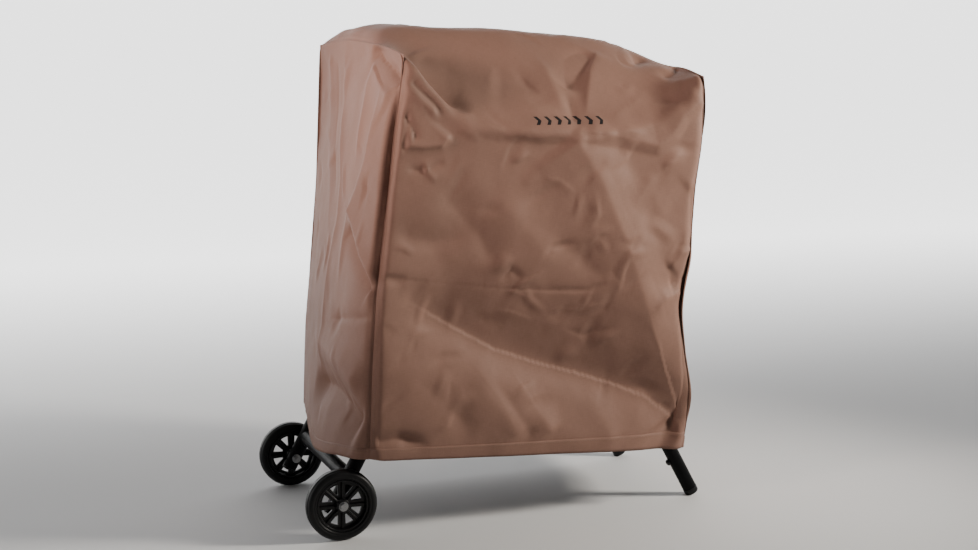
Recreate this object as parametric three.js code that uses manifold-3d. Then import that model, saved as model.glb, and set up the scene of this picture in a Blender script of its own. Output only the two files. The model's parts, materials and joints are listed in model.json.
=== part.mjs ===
// A fitted fabric cover over a two-wheeled pellet grill.
// Millimetres, +Z up, +X to the right of someone facing the front, +Y to the back.
// The origin is on the floor under the middle of the bounding box. The wheels are at the left (-X) end.
import * as THREE from 'three';
import { mergeVertices } from 'three/addons/utils/BufferGeometryUtils.js';
import Module from 'manifold-3d';

// ---------- driving dimensions ----------
const HALF_LENGTH = 553.5; // half of the overall length, from the tyres' left edge to the feet's right edge
const GAP = 0.3; // between pieces that touch

const WHEEL = { radius: 89, width: 38, trackHalf: 265.5, rimRadius: 66, hubRadius: 17, hubLength: 40 };
const WINDOW = { count: 8, inner: 26, outer: 50, innerHalf: 3, outerHalf: 10 };
const AXLE = { radius: 5, bore: 5.5, headRadius: 9.8, headHeight: 6.5, flangeRadius: 12, flangeHeight: 2 };

const LEG = { radius: 19, wall: 2, splay: THREE.MathUtils.degToRad(29), planeY: 223.5, topZ: 772 };
const FOOT = { radius: 19.5, edge: 3, length: 16, plugRadius: 16.6, plugLength: 14, flat: 1.5 };
const RAIL = { bottom: 760, height: 32, width: 36, left: -310, right: 362 };
const CROSSBAR_Z = { left: 145, right: 262 };

const BARREL = { radius: 222, wall: 2.5, left: -113, right: 362, centreZ: 1000 };
const HANDLE = { left: 0, right: 290, y: -284, z: 996, radius: 9 };
const GRATE = { z: 985, thickness: 6, bars: 15, barWidth: 7 };
const HOPPER = { left: -297, right: -125, front: -205, back: 150, bottom: 800, frontTop: 1060, top: 1203, kneeY: 0 };
const PANEL = { left: -286, right: -138, bottom: 930, height: 120, depth: 28 };
const STACK = { x: 412, radius: 34, wall: 2, elbowZ: 1075, top: 1142, capRadius: 44, capZ: 1150 };
const LIFT = { reach: 70, half: 75, z: 930, radius: 9 };

const FABRIC = 2.5; // thickness of a cover panel
const HEM = { height: 27, extra: 1.2 }; // the folded band round the bottom edge stands a little proud
const BINDING = { halfWidth: 6, inside: 0.5, outside: 3.5 };

// ---------- materials ----------
const paint = (color, roughness, metalness) => new THREE.MeshStandardMaterial({ color, roughness, metalness });
const MATERIAL = {
  fabric: paint(0xa17c69, 0.72, 0),
  binding: paint(0x8d6b5a, 0.75, 0),
  blackPaint: paint(0x15161a, 0.42, 0.35),
  plastic: paint(0x111214, 0.5, 0),
  tyre: paint(0x141416, 0.62, 0),
  steel: paint(0xb9bcc0, 0.32, 0.95),
  zinc: paint(0x9a9da1, 0.4, 0.9),
  dial: paint(0x22282c, 0.25, 0),
};

// ---------- solids and placing ----------
const wasm = await Module();
wasm.setup();
const group = new THREE.Group();
const UP = new THREE.Vector3(0, 1, 0); // the axis of lathe and cylinder geometries
const point = (x, y, z) => new THREE.Vector3(x, y, z);

function toSolid(mesh) {
  mesh.updateMatrixWorld(true);
  const source = mesh.geometry.index ? mesh.geometry.toNonIndexed() : mesh.geometry;
  const bare = new THREE.BufferGeometry().setAttribute('position', source.getAttribute('position').clone());
  const merged = mergeVertices(bare.applyMatrix4(mesh.matrixWorld), 1e-4);
  return new wasm.Manifold(new wasm.Mesh({
    numProp: 3,
    vertProperties: new Float32Array(merged.attributes.position.array),
    triVerts: new Uint32Array(merged.index.array),
  }));
}

function fromSolid(solid) {
  const mesh = solid.getMesh();
  const positions = new Float32Array(mesh.numVert * 3);
  for (let i = 0; i < mesh.numVert; i++) {
    positions.set(mesh.vertProperties.subarray(i * mesh.numProp, i * mesh.numProp + 3), i * 3);
  }
  const geometry = new THREE.BufferGeometry();
  geometry.setAttribute('position', new THREE.BufferAttribute(positions, 3));
  geometry.setIndex(new THREE.BufferAttribute(new Uint32Array(mesh.triVerts), 1));
  return geometry;
}

const cut = (mesh, ...tools) => new THREE.Mesh(fromSolid(tools.reduce(
  (solid, tool) => solid.subtract(toSolid(tool)), toSolid(mesh))));
const join = (...meshes) => new THREE.Mesh(fromSolid(meshes.slice(1).reduce(
  (solid, other) => solid.add(toSolid(other)), toSolid(meshes[0]))));
const within = (mesh, ...tools) => new THREE.Mesh(fromSolid(tools.reduce(
  (solid, tool) => solid.intersect(toSolid(tool)), toSolid(mesh))));

// The biggest body of a cut piece, without the slivers that the cut left beside it.
function mainBody(mesh) {
  const bodies = toSolid(mesh).decompose();
  return new THREE.Mesh(fromSolid(bodies.sort((a, b) => b.volume() - a.volume())[0]));
}

function add(name, mesh, material) {
  mesh.name = name;
  mesh.material = material;
  group.add(mesh);
}

function box(x0, x1, y0, y1, z0, z1) {
  const mesh = new THREE.Mesh(new THREE.BoxGeometry(x1 - x0, y1 - y0, z1 - z0));
  mesh.position.set((x0 + x1) / 2, (y0 + y1) / 2, (z0 + z1) / 2);
  return mesh;
}

// A mesh whose own +Y axis runs from one point towards another.
function aim(mesh, from, towards) {
  mesh.position.copy(from);
  mesh.quaternion.setFromUnitVectors(UP, towards.clone().sub(from).normalize());
  return mesh;
}

// A turned piece: its profile is [radius, height] pairs, anticlockwise, and it stands on the start point.
function turned(profile, from, towards, sides = 24) {
  const points = profile.map(([r, h]) => new THREE.Vector2(r, h));
  return aim(new THREE.Mesh(new THREE.LatheGeometry(points, sides)), from, towards);
}

const rod = (from, to, radius, sides = 24) => turned(
  [[0, 0], [radius, 0], [radius, from.distanceTo(to)], [0, from.distanceTo(to)]], from, to, sides);

const ring = (from, to, inner, outer, sides = 24) => turned(
  [[inner, 0], [outer, 0], [outer, from.distanceTo(to)], [inner, from.distanceTo(to)], [inner, 0]], from, to, sides);

const pipe = (from, to, outer, wall, sides = 24) => ring(from, to, outer - wall, outer, sides);

// A shape drawn in the Y-Z plane and carried along X.
function alongX(shape, x0, x1, curveSegments = 12) {
  const mesh = new THREE.Mesh(new THREE.ExtrudeGeometry(shape, { depth: x1 - x0, bevelEnabled: false, curveSegments }));
  mesh.rotation.setFromRotationMatrix(new THREE.Matrix4().makeBasis(point(0, 1, 0), point(0, 0, 1), point(1, 0, 0)));
  mesh.position.x = x0;
  return mesh;
}

function polygon(corners) {
  return new THREE.Shape(corners.map(([a, b]) => new THREE.Vector2(a, b)));
}

// ---------- legs and their cross members ----------
const wheelX = -HALF_LENGTH + WHEEL.radius;
const tilt = { sin: Math.sin(LEG.splay), cos: Math.cos(LEG.splay) };
const footRight = FOOT.edge + (FOOT.radius - FOOT.edge) * tilt.cos - FOOT.edge * tilt.sin;
const footLift = FOOT.edge - FOOT.edge * tilt.cos + (FOOT.radius - FOOT.edge) * tilt.sin - FOOT.flat;
const footEnd = point(HALF_LENGTH - footRight, 0, footLift);

// The point of a leg's centre line at a height, for the left (-1) or the right (1) legs and the front or back plane.
function legPoint(side, y, z) {
  const x = side < 0
    ? wheelX + (z - WHEEL.radius) * Math.tan(LEG.splay)
    : footEnd.x - (z - footEnd.z) * Math.tan(LEG.splay);
  return point(x, y, z);
}

function addLegs() {
  const plugProfile = [
    [0, 0], [FOOT.radius - FOOT.edge, 0],
    [FOOT.radius - FOOT.edge * 0.3, FOOT.edge * 0.3], [FOOT.radius, FOOT.edge],
    [FOOT.radius, FOOT.length], [FOOT.plugRadius, FOOT.length],
    [FOOT.plugRadius, FOOT.length + FOOT.plugLength], [0, FOOT.length + FOOT.plugLength],
  ];
  for (const [end, y] of [['front', -LEG.planeY], ['back', LEG.planeY]]) {
    const inward = -Math.sign(y);
    const axleHole = rod(point(wheelX, y - 40, WHEEL.radius), point(wheelX, y + 40, WHEEL.radius), AXLE.bore);
    const aboveRail = box(-400, 400, y - 60, y + 60, RAIL.bottom - GAP, RAIL.bottom + 60);

    const leftFoot = legPoint(-1, y, WHEEL.radius - 28);
    const leftTop = legPoint(-1, y, LEG.topZ);
    add(`leg_${end}_left`, cut(pipe(leftFoot, leftTop, LEG.radius, LEG.wall), axleHole, aboveRail), MATERIAL.blackPaint);
    const plugStart = leftFoot.clone().addScaledVector(leftTop.clone().sub(leftFoot).normalize(), -6);
    add(`leg_plug_${end}_left`, turned([
      [0, 0], [LEG.radius - 1.5, 0], [LEG.radius, 1.5], [LEG.radius, 6 - GAP], [FOOT.plugRadius, 6 - GAP],
      [FOOT.plugRadius, 12], [0, 12],
    ], plugStart, leftTop), MATERIAL.plastic);

    const footStart = point(footEnd.x, y, footEnd.z);
    const rightTop = legPoint(1, y, LEG.topZ);
    const legStart = footStart.clone().addScaledVector(
      rightTop.clone().sub(footStart).normalize(), FOOT.length + GAP);
    const studZ = 106;
    const stud = legPoint(1, y, studZ);
    const studDirection = point(-tilt.cos, 0, -tilt.sin);
    const studHole = rod(stud, stud.clone().addScaledVector(studDirection, 40), 4.3, 12);
    add(`leg_${end}_right`, cut(pipe(legStart, rightTop, LEG.radius, LEG.wall), studHole, aboveRail), MATERIAL.blackPaint);
    add(`foot_cap_${end}`, cut(turned(plugProfile, footStart, rightTop), box(400, 700, y - 50, y + 50, -50, 0)),
      MATERIAL.plastic);
    add(`leg_button_${end}`, turned([
      [0, 0], [4, 0], [4, 7 + GAP], [9, 7 + GAP], [9, 11], [6.5, 14.5], [0, 16],
    ], stud.clone().addScaledVector(studDirection, LEG.radius - 7), stud.clone().addScaledVector(studDirection, 60), 16),
    MATERIAL.plastic);

    const boltHead = point(wheelX, inward * -(WHEEL.trackHalf + WHEEL.hubLength / 2 + 0.5) * 1, WHEEL.radius);
    addAxleBolt(end, boltHead, inward);
  }
  for (const [side, name] of [[-1, 'left'], [1, 'right']]) {
    const z = CROSSBAR_Z[name];
    const reach = LEG.planeY - LEG.radius - GAP;
    add(`crossbar_${name}`, pipe(legPoint(side, -reach, z), legPoint(side, reach, z), LEG.radius, LEG.wall),
      MATERIAL.blackPaint);
  }
}

// The bolt that the wheel turns on: hex head with a flange outside the hub, nut inside the leg.
function addAxleBolt(end, outer, inward) {
  const at = (distance) => point(outer.x, outer.y + inward * distance, outer.z);
  const legInside = Math.abs(outer.y) - (LEG.planeY - LEG.radius);
  const shankEnd = legInside + 14;
  const head = rod(at(-AXLE.flangeHeight), at(-AXLE.flangeHeight - AXLE.headHeight), AXLE.headRadius, 6);
  const flange = rod(at(0), at(-AXLE.flangeHeight - 0.5), AXLE.flangeRadius);
  const shank = rod(at(-1), at(shankEnd), AXLE.radius, 16);
  add(`axle_bolt_${end}`, join(flange, head, shank), MATERIAL.zinc);
  add(`axle_nut_${end}`, cut(
    join(rod(at(legInside + GAP), at(legInside + GAP + 2), AXLE.flangeRadius),
      rod(at(legInside + GAP + 1), at(legInside + GAP + 9), AXLE.headRadius, 6)),
    rod(at(legInside - 5), at(legInside + 30), AXLE.radius + GAP, 16)), MATERIAL.zinc);
  const washer = Math.abs(outer.y) - (LEG.planeY + LEG.radius) - 0.5 - 2;
  add(`axle_washer_${end}`, ring(at(washer), at(washer + 2), AXLE.bore, AXLE.flangeRadius), MATERIAL.zinc);
}

// ---------- wheels ----------
function wheelWindow(angle, y) {
  const shape = polygon([
    [WINDOW.inner, -WINDOW.innerHalf], [WINDOW.inner + 2, -WINDOW.innerHalf - 2],
    [WINDOW.outer - 4, -WINDOW.outerHalf], [WINDOW.outer - 1, -WINDOW.outerHalf + 2],
    [WINDOW.outer + 1, 0],
    [WINDOW.outer - 1, WINDOW.outerHalf - 2], [WINDOW.outer - 4, WINDOW.outerHalf],
    [WINDOW.inner + 2, WINDOW.innerHalf + 2], [WINDOW.inner, WINDOW.innerHalf],
  ]);
  const mesh = new THREE.Mesh(new THREE.ExtrudeGeometry(shape, { depth: 60, bevelEnabled: false }));
  mesh.geometry.translate(0, 0, -30);
  mesh.geometry.rotateZ(angle);
  mesh.rotation.x = Math.PI / 2; // the shape's plane becomes the wheel's X-Z plane
  mesh.position.set(wheelX, y, WHEEL.radius);
  return mesh;
}

function addWheel(end, y) {
  const start = point(wheelX, y - WHEEL.width / 2, WHEEL.radius);
  const finish = point(wheelX, y + WHEEL.width / 2, WHEEL.radius);
  const { radius, width, rimRadius, hubRadius, hubLength } = WHEEL;
  add(`tyre_${end}`, turned([
    [rimRadius + 1, 3], [rimRadius + 5, 0], [radius - 9, 0], [radius - 3, 3], [radius, 10],
    [radius, width - 10], [radius - 3, width - 3], [radius - 9, width], [rimRadius + 5, width],
    [rimRadius + 1, width - 3], [rimRadius + 1, 3],
  ], start, finish, 40), MATERIAL.tyre);

  const middle = (from, length) => [point(wheelX, y - length / 2, from), point(wheelX, y + length / 2, from)];
  const [hubFrom, hubTo] = middle(WHEEL.radius, hubLength);
  const [webFrom, webTo] = middle(WHEEL.radius, 12);
  const [rimFrom, rimTo] = middle(WHEEL.radius, width - 8);
  let wheel = join(
    ring(hubFrom, hubTo, AXLE.bore, hubRadius), ring(webFrom, webTo, AXLE.bore + 4, rimRadius - 4, 40),
    ring(rimFrom, rimTo, rimRadius - 11, rimRadius, 40));
  for (let i = 0; i < WINDOW.count; i++) {
    const angle = (i + 0.5) * 2 * Math.PI / WINDOW.count;
    wheel = cut(wheel, wheelWindow(angle, y));
    const rib = box(hubRadius - 3, rimRadius - 9, -2.5, 2.5, -12, 12);
    rib.geometry.translate(rib.position.x, 0, 0);
    rib.geometry.rotateX(Math.PI / 2);
    rib.geometry.rotateY(angle + Math.PI / WINDOW.count);
    rib.position.set(wheelX, y, WHEEL.radius);
    wheel = join(wheel, rib);
  }
  add(`wheel_hub_${end}`, wheel, MATERIAL.plastic);
}

// ---------- the cradle that carries the grill ----------
function addCradle() {
  const railTop = RAIL.bottom + RAIL.height;
  for (const [end, y] of [['front', -LEG.planeY], ['back', LEG.planeY]]) {
    const half = RAIL.width / 2;
    add(`rail_${end}`, cut(
      box(RAIL.left, RAIL.right, y - half, y + half, RAIL.bottom, railTop),
      box(RAIL.left - 1, RAIL.right + 1, y - half + 2, y + half - 2, RAIL.bottom + 2, railTop - 2)), MATERIAL.blackPaint);
  }
  const reach = LEG.planeY + RAIL.width / 2;
  const clearance = rod(point(-400, 0, BARREL.centreZ), point(500, 0, BARREL.centreZ), BARREL.radius + GAP, 96);
  for (const [name, x] of [['left', -60], ['right', 300]]) {
    const inside = LEG.planeY - RAIL.width / 2 - GAP;
    add(`saddle_${name}`, cut(box(x - 4, x + 4, -inside, inside, RAIL.bottom - 14, BARREL.centreZ - 110), clearance),
      MATERIAL.blackPaint);
  }
  add('hopper_base', box(HOPPER.left, HOPPER.right, -reach, reach, railTop + GAP, HOPPER.bottom - GAP),
    MATERIAL.blackPaint);
}

// ---------- the grill under the cover ----------
// Half a disc in the Y-Z plane: the upper (1) or the lower (-1) half of the barrel.
function halfDisc(radius, side, edgeZ) {
  const shape = new THREE.Shape();
  shape.absarc(0, BARREL.centreZ, radius, side > 0 ? 0 : Math.PI, side > 0 ? Math.PI : 2 * Math.PI, false);
  if (edgeZ !== undefined) {
    shape.lineTo(-side * radius, edgeZ);
    shape.lineTo(side * radius, edgeZ);
  }
  return shape;
}

function halfBarrel(side) {
  const inner = BARREL.radius - BARREL.wall;
  const cavity = alongX(halfDisc(inner, side, BARREL.centreZ - side * 40), BARREL.left + BARREL.wall,
    BARREL.right - BARREL.wall, 26);
  const shell = cut(alongX(halfDisc(BARREL.radius, side), BARREL.left, BARREL.right, 26), cavity);
  shell.position.z = side > 0 ? GAP : 0;
  return shell;
}

function addBarrel() {
  add('barrel_body', halfBarrel(-1), MATERIAL.blackPaint);
  const stackHole = rod(point(BARREL.right - 20, 0, STACK.elbowZ), point(BARREL.right + 20, 0, STACK.elbowZ),
    STACK.radius - STACK.wall);
  add('barrel_lid', cut(halfBarrel(1), stackHole), MATERIAL.blackPaint);

  const middleX = (HANDLE.left + HANDLE.right) / 2;
  const lidFront = -Math.sqrt(BARREL.radius ** 2 - (HANDLE.z - BARREL.centreZ) ** 2);
  add('lid_handle', rod(point(HANDLE.left, HANDLE.y, HANDLE.z), point(HANDLE.right, HANDLE.y, HANDLE.z),
    HANDLE.radius, 20), MATERIAL.steel);
  for (const [name, offset] of [['left', -115], ['right', 115]]) {
    const from = point(middleX + offset, lidFront + 3, HANDLE.z);
    const to = point(middleX + offset, HANDLE.y + HANDLE.radius - 1, HANDLE.z);
    const barrel = rod(point(-400, 0, BARREL.centreZ + GAP), point(500, 0, BARREL.centreZ + GAP),
      BARREL.radius + GAP, 96);
    const bar = rod(point(-200, HANDLE.y, HANDLE.z), point(500, HANDLE.y, HANDLE.z), HANDLE.radius + GAP);
    add(`handle_post_${name}`, cut(rod(from, to, 11, 16), barrel, bar), MATERIAL.plastic);
  }
  for (const [name, x] of [['left', -40], ['right', 290]]) {
    const y = BARREL.radius + 1;
    const knuckle = rod(point(x - 25, y + 7, BARREL.centreZ), point(x + 25, y + 7, BARREL.centreZ), 5.5, 16);
    add(`lid_hinge_${name}`, join(knuckle, box(x - 25, x + 25, y, y + 2.5, BARREL.centreZ - 28, BARREL.centreZ + 28)),
      MATERIAL.blackPaint);
  }
  const gaugeAngle = THREE.MathUtils.degToRad(160);
  const normal = point(0, Math.cos(gaugeAngle), Math.sin(gaugeAngle));
  const seat = point(middleX, 0, BARREL.centreZ).addScaledVector(normal, BARREL.radius + 1.2);
  add('lid_thermometer', turned([[0, 0], [27, 0], [29, 2], [29, 9], [26, 10], [25, 7.5], [0, 7.5]], seat,
    seat.clone().add(normal), 32), MATERIAL.steel);
}

function addGrate() {
  const half = Math.sqrt((BARREL.radius - BARREL.wall) ** 2 - (GRATE.z - BARREL.centreZ) ** 2) - 8;
  const left = BARREL.left + 12;
  const right = BARREL.right - 12;
  const z = [GRATE.z, GRATE.z + GRATE.thickness];
  let grate = cut(box(left, right, -half, half, ...z), box(left + 10, right - 10, -half + 10, half - 10, z[0] - 1, z[1] + 1));
  const pitch = (right - left) / (GRATE.bars + 1);
  for (let i = 1; i <= GRATE.bars; i++) {
    const x = left + i * pitch;
    grate = join(grate, box(x - GRATE.barWidth / 2, x + GRATE.barWidth / 2, -half + 5, half - 5, z[0] + 0.8, z[1] - 0.8));
  }
  add('cooking_grate', grate, MATERIAL.steel);
}

function addHopper() {
  const { left, right, front, back, bottom, frontTop, top, kneeY } = HOPPER;
  const wall = 2.5;
  const outline = (inset, rise) => polygon([
    [front + inset, bottom + inset], [back - inset, bottom + inset], [back - inset, top + rise],
    [kneeY, top + rise], [front + inset, frontTop + rise],
  ]);
  add('hopper_body', cut(alongX(outline(0, 0), left, right), alongX(outline(wall, 30), left + wall, right - wall)),
    MATERIAL.blackPaint);
  const lift = GAP + 0.2;
  add('hopper_lid', alongX(polygon([
    [front - 8, frontTop + lift - 4], [kneeY, top + lift], [back + 3, top + lift], [back + 3, top + lift + 3],
    [kneeY - 0.6, top + lift + 3], [front - 8, frontTop + lift - 1],
  ]), left - 3, right + 3), MATERIAL.blackPaint);
  const gripX = (left + right) / 2;
  add('hopper_lid_grip', box(gripX - 45, gripX + 45, front - 20, front - 8 - GAP, frontTop - 8, frontTop + 2),
    MATERIAL.plastic);

  const panelFront = front - PANEL.depth;
  const knobX = right - 46;
  const knobZ = PANEL.bottom + PANEL.height / 2;
  const knobBore = rod(point(knobX, panelFront - 30, knobZ), point(knobX, front - 10, knobZ), 4.5, 16);
  const windowX = [left + 26, left + 92];
  const windowZ = [knobZ - 18, knobZ + 18];
  add('controller_housing', cut(
    box(PANEL.left, PANEL.right, panelFront, front - GAP, PANEL.bottom, PANEL.bottom + PANEL.height),
    box(windowX[0], windowX[1], panelFront - 1, panelFront + 2.5, ...windowZ), knobBore), MATERIAL.plastic);
  add('controller_display', box(windowX[0] + GAP, windowX[1] - GAP, panelFront + 0.6, panelFront + 2.5 - GAP,
    windowZ[0] + GAP, windowZ[1] - GAP), MATERIAL.dial);
  const face = point(knobX, panelFront - 0.6, knobZ);
  add('control_knob', join(
    turned([[0, -14], [4, -14], [4, 0], [20, 0], [20, 4], [15, 7], [14, 19], [12, 21], [0, 21]], face,
      face.clone().add(point(0, -1, 0)), 32),
    box(knobX - 2, knobX + 2, panelFront - 23.5, panelFront - 10, knobZ + 2, knobZ + 14)), MATERIAL.plastic);
}

function addStack() {
  const { x, radius, wall, elbowZ, top, capRadius, capZ } = STACK;
  const stubStart = point(BARREL.right + GAP, 0, elbowZ);
  const outer = join(rod(stubStart, point(x, 0, elbowZ), radius), rod(point(x, 0, elbowZ - radius), point(x, 0, top), radius));
  const bore = join(rod(point(BARREL.right - 5, 0, elbowZ), point(x, 0, elbowZ), radius - wall),
    rod(point(x, 0, elbowZ - radius + wall), point(x, 0, top + 5), radius - wall));
  add('smoke_stack', cut(outer, bore), MATERIAL.blackPaint);
  const spindle = rod(point(x, 0, top - 30), point(x, 0, capZ + 3), 3, 12);
  const bridge = box(x - radius + wall + 1.2, x + radius - wall - 1.2, -4, 4, top - 30, top - 27);
  add('stack_cap', join(turned([[0, 0], [capRadius, 0], [capRadius, 3], [12, 12], [0, 13]],
    point(x, 0, capZ), point(x, 0, capZ + 1), 32), spindle, bridge), MATERIAL.blackPaint);

  const start = BARREL.right + GAP;
  const corner = 22;
  const path = new THREE.CurvePath();
  const line = (...ends) => path.add(new THREE.LineCurve3(...ends));
  const bend = (a, b, c) => path.add(new THREE.QuadraticBezierCurve3(a, b, c));
  const out = start + LIFT.reach;
  for (const side of [-1, 1]) {
    const y = side * LIFT.half;
    const turn = [point(out - corner, y, LIFT.z), point(out, y, LIFT.z), point(out, y - side * corner, LIFT.z)];
    if (side < 0) {
      line(point(start, y, LIFT.z), turn[0]);
      bend(...turn);
      line(turn[2], point(out, LIFT.half - corner, LIFT.z));
    } else {
      bend(turn[2], turn[1], turn[0]);
      line(turn[0], point(start, y, LIFT.z));
    }
  }
  const section = new THREE.Shape().absarc(0, 0, LIFT.radius, 0, 2 * Math.PI, false);
  add('lift_handle', new THREE.Mesh(new THREE.ExtrudeGeometry(section,
    { steps: 26, extrudePath: path, curveSegments: 4, bevelEnabled: false })), MATERIAL.blackPaint);
}

// ---------- the cover ----------
// Each ring is one section of the cover, from the front hem over the top to the back hem, as [x, y, z].
// Straight falls are drawn down to z 40 and trimmed along the hem.
const COVER_RINGS = [
  // the belly of the left panel, pushed out by the splayed legs near the hem
  [[-480, -150, 40], [-458, -150, 300], [-424, -150, 600], [-392, -140, 850], [-348, -120, 1096],
    [-348, -80, 1106], [-351, -20, 1110], [-354, 40, 1112], [-358, 90, 1110],
    [-362, 140, 1096], [-400, 150, 850], [-428, 150, 600], [-452, 150, 300], [-474, 150, 40]],
  [[-446, -250, 40], [-432, -248, 300], [-404, -246, 600], [-376, -244, 850], [-338, -240, 1120],
    [-338, -170, 1132], [-346, -60, 1142], [-355, 80, 1150], [-364, 170, 1150],
    [-376, 225, 1120], [-398, 232, 850], [-418, 236, 600], [-442, 240, 300], [-458, 242, 40]],
  // left seam
  [[-405, -308, 40], [-399, -308, 300], [-385, -307, 600], [-358, -306, 850], [-301, -300, 1186],
    [-312, -190, 1206], [-325, -60, 1218], [-340, 80, 1226], [-354, 200, 1226],
    [-366, 288, 1206], [-372, 298, 850], [-391, 303, 600], [-412, 307, 300], [-418, 310, 40]],
  // over the hopper
  [[-215, -311, 40], [-213, -311, 300], [-211, -310, 600], [-209, -309, 850], [-205, -306, 1092],
    [-205, -196, 1168], [-230, 4, 1262], [-236, 158, 1260], [-226, 222, 1228],
    [-208, 293, 1158], [-208, 301, 850], [-208, 306, 600], [-208, 309, 300], [-208, 311, 40]],
  // between hopper and handle
  [[-60, -312, 40], [-60, -312, 300], [-60, -312, 600], [-60, -312, 850], [-60, -312, 1012],
    [-60, -190, 1150], [-60, -62, 1246], [-60, 86, 1248], [-60, 204, 1192],
    [-60, 296, 1132], [-60, 304, 850], [-60, 308, 600], [-60, 311, 300], [-60, 312, 40]],
  // across the lid handle
  [[120, -312, 40], [120, -312, 300], [120, -312, 600], [120, -312, 850], [120, -312, 1004],
    [120, -190, 1152], [120, -70, 1246], [120, 70, 1246], [120, 198, 1176],
    [120, 298, 1122], [120, 305, 850], [120, 309, 600], [120, 311, 300], [120, 312, 40]],
  [[290, -312, 40], [290, -311, 300], [290, -310, 600], [290, -311, 850], [290, -312, 1008],
    [290, -190, 1152], [290, -70, 1244], [290, 70, 1244], [290, 198, 1172],
    [290, 298, 1120], [290, 305, 850], [290, 309, 600], [290, 311, 300], [290, 312, 40]],
  // the barrel's right end
  [[372, -311, 40], [372, -306, 300], [372, -302, 600], [374, -304, 850], [374, -309, 1034],
    [374, -190, 1156], [370, -70, 1240], [370, 70, 1242], [370, 198, 1170],
    [374, 298, 1120], [376, 305, 850], [378, 309, 600], [378, 311, 300], [378, 312, 40]],
  // right seam
  [[472, -311, 40], [471, -306, 300], [453, -292, 560], [479, -300, 850], [500, -302, 1136],
    [504, -180, 1158], [507, -60, 1170], [508, 80, 1170], [506, 190, 1158],
    [502, 294, 1132], [500, 302, 850], [503, 307, 600], [506, 310, 300], [508, 311, 40]],
  // inside the right panel
  [[486, -240, 40], [486, -236, 300], [476, -230, 560], [491, -232, 850], [505, -236, 1050],
    [510, -150, 1060], [511, -60, 1070], [512, 70, 1070], [511, 150, 1060],
    [510, 226, 1040], [512, 232, 850], [514, 236, 600], [516, 238, 300], [517, 240, 40]],
].map((ringPoints) => ringPoints.map((corner) => point(...corner)));
const LEFT_SEAM = COVER_RINGS[2];
const RIGHT_SEAM = COVER_RINGS[COVER_RINGS.length - 2];
const HEM_CORNER = point(-394.5, -310, 209); // the hem at the front left corner
const HEM_FALL = { right: 0.0561, back: 0.0838, levelY: -50 }; // the hem falls to the right, and to the back until it levels

const middleOf = (points) => points.reduce((sum, p) => sum.add(p), point(0, 0, 0)).divideScalar(points.length);

// A closed surface through rings of points, left to right, with a fan over each end.
function loft(rings) {
  const size = rings[0].length;
  const points = [...rings.flat(), middleOf(rings[0]), middleOf(rings.at(-1))];
  const faces = [];
  for (let j = 0; j < size; j++) {
    const next = (j + 1) % size;
    for (let i = 0; i + 1 < rings.length; i++) {
      const [a, b] = [i * size, (i + 1) * size];
      faces.push(a + j, b + j, b + next, a + j, b + next, a + next);
    }
    const last = (rings.length - 1) * size;
    faces.push(points.length - 2, j, next, points.length - 1, last + next, last + j);
  }
  const geometry = new THREE.BufferGeometry().setFromPoints(points);
  geometry.setIndex(faces);
  geometry.computeVertexNormals();
  return geometry;
}

// The cover's outer form, grown or shrunk by a distance.
function coverForm(distance) {
  const geometry = loft(COVER_RINGS);
  const { position, normal } = geometry.attributes;
  for (let i = 0; i < position.count; i++) {
    position.setXYZ(i, position.getX(i) + normal.getX(i) * distance,
      position.getY(i) + normal.getY(i) * distance, position.getZ(i) + normal.getZ(i) * distance);
  }
  return new THREE.Mesh(geometry);
}

// Everything beyond a seam, on the left (-1) or on the right (1), moved sideways by a shift.
function beyond(seam, side, shift) {
  const centre = middleOf(seam);
  const near = seam.map((p) => p.clone().sub(centre).multiplyScalar(1.3).add(centre).add(point(shift, 0, 0)));
  const far = near.map((p) => point(side * 900, p.y, p.z));
  return new THREE.Mesh(loft(side < 0 ? [far, near] : [near, far]));
}

// Everything from one height above the hem line down to another.
function hemSlab(above, below) {
  const reach = 1000;
  const line = [-reach, HEM_FALL.levelY, reach].map((y) => [
    y, HEM_CORNER.z - HEM_FALL.back * (Math.min(y, HEM_FALL.levelY) - HEM_CORNER.y),
  ]);
  const outline = [...line.map(([y, z]) => [y, z + below]), ...line.reverse().map(([y, z]) => [y, z + above])];
  const mesh = alongX(polygon(outline), -reach, reach);
  mesh.updateMatrix();
  mesh.geometry.applyMatrix4(mesh.matrix).applyMatrix4(new THREE.Matrix4().set(
    1, 0, 0, 0, 0, 1, 0, 0, -HEM_FALL.right, 0, 1, HEM_FALL.right * HEM_CORNER.x, 0, 0, 0, 1));
  return new THREE.Mesh(mesh.geometry);
}

function addCover() {
  const inner = coverForm(-FABRIC);
  const panels = cut(coverForm(0), inner, hemSlab(HEM.height + GAP, -500));
  add('cover_side_left', within(panels, beyond(LEFT_SEAM, -1, -GAP / 2)), MATERIAL.fabric);
  add('cover_side_right', within(panels, beyond(RIGHT_SEAM, 1, GAP / 2)), MATERIAL.fabric);
  add('cover_wrap_panel', cut(panels, beyond(LEFT_SEAM, -1, GAP / 2), beyond(RIGHT_SEAM, 1, -GAP / 2)),
    MATERIAL.fabric);
  add('hem_band', within(cut(coverForm(HEM.extra), inner), hemSlab(HEM.height, 0)), MATERIAL.fabric);

  const tape = cut(coverForm(BINDING.outside), coverForm(BINDING.inside), hemSlab(HEM.height + 2, -500));
  for (const [name, seam, side] of [['left', LEFT_SEAM, -1], ['right', RIGHT_SEAM, 1]]) {
    add(`seam_binding_${name}`, mainBody(cut(within(tape, beyond(seam, side, -side * BINDING.halfWidth)),
      beyond(seam, side, side * BINDING.halfWidth))), MATERIAL.binding);
  }
}

addLegs();
addWheel('front', -WHEEL.trackHalf);
addWheel('back', WHEEL.trackHalf);
addCradle();
addBarrel();
addGrate();
addHopper();
addStack();
addCover();

export default group;
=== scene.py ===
"""A fitted fabric cover over a two-wheeled pellet grill.

Metres, +Z up. The front faces -Y and the wheels are at the -X end.
"""
import json
import math

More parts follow.
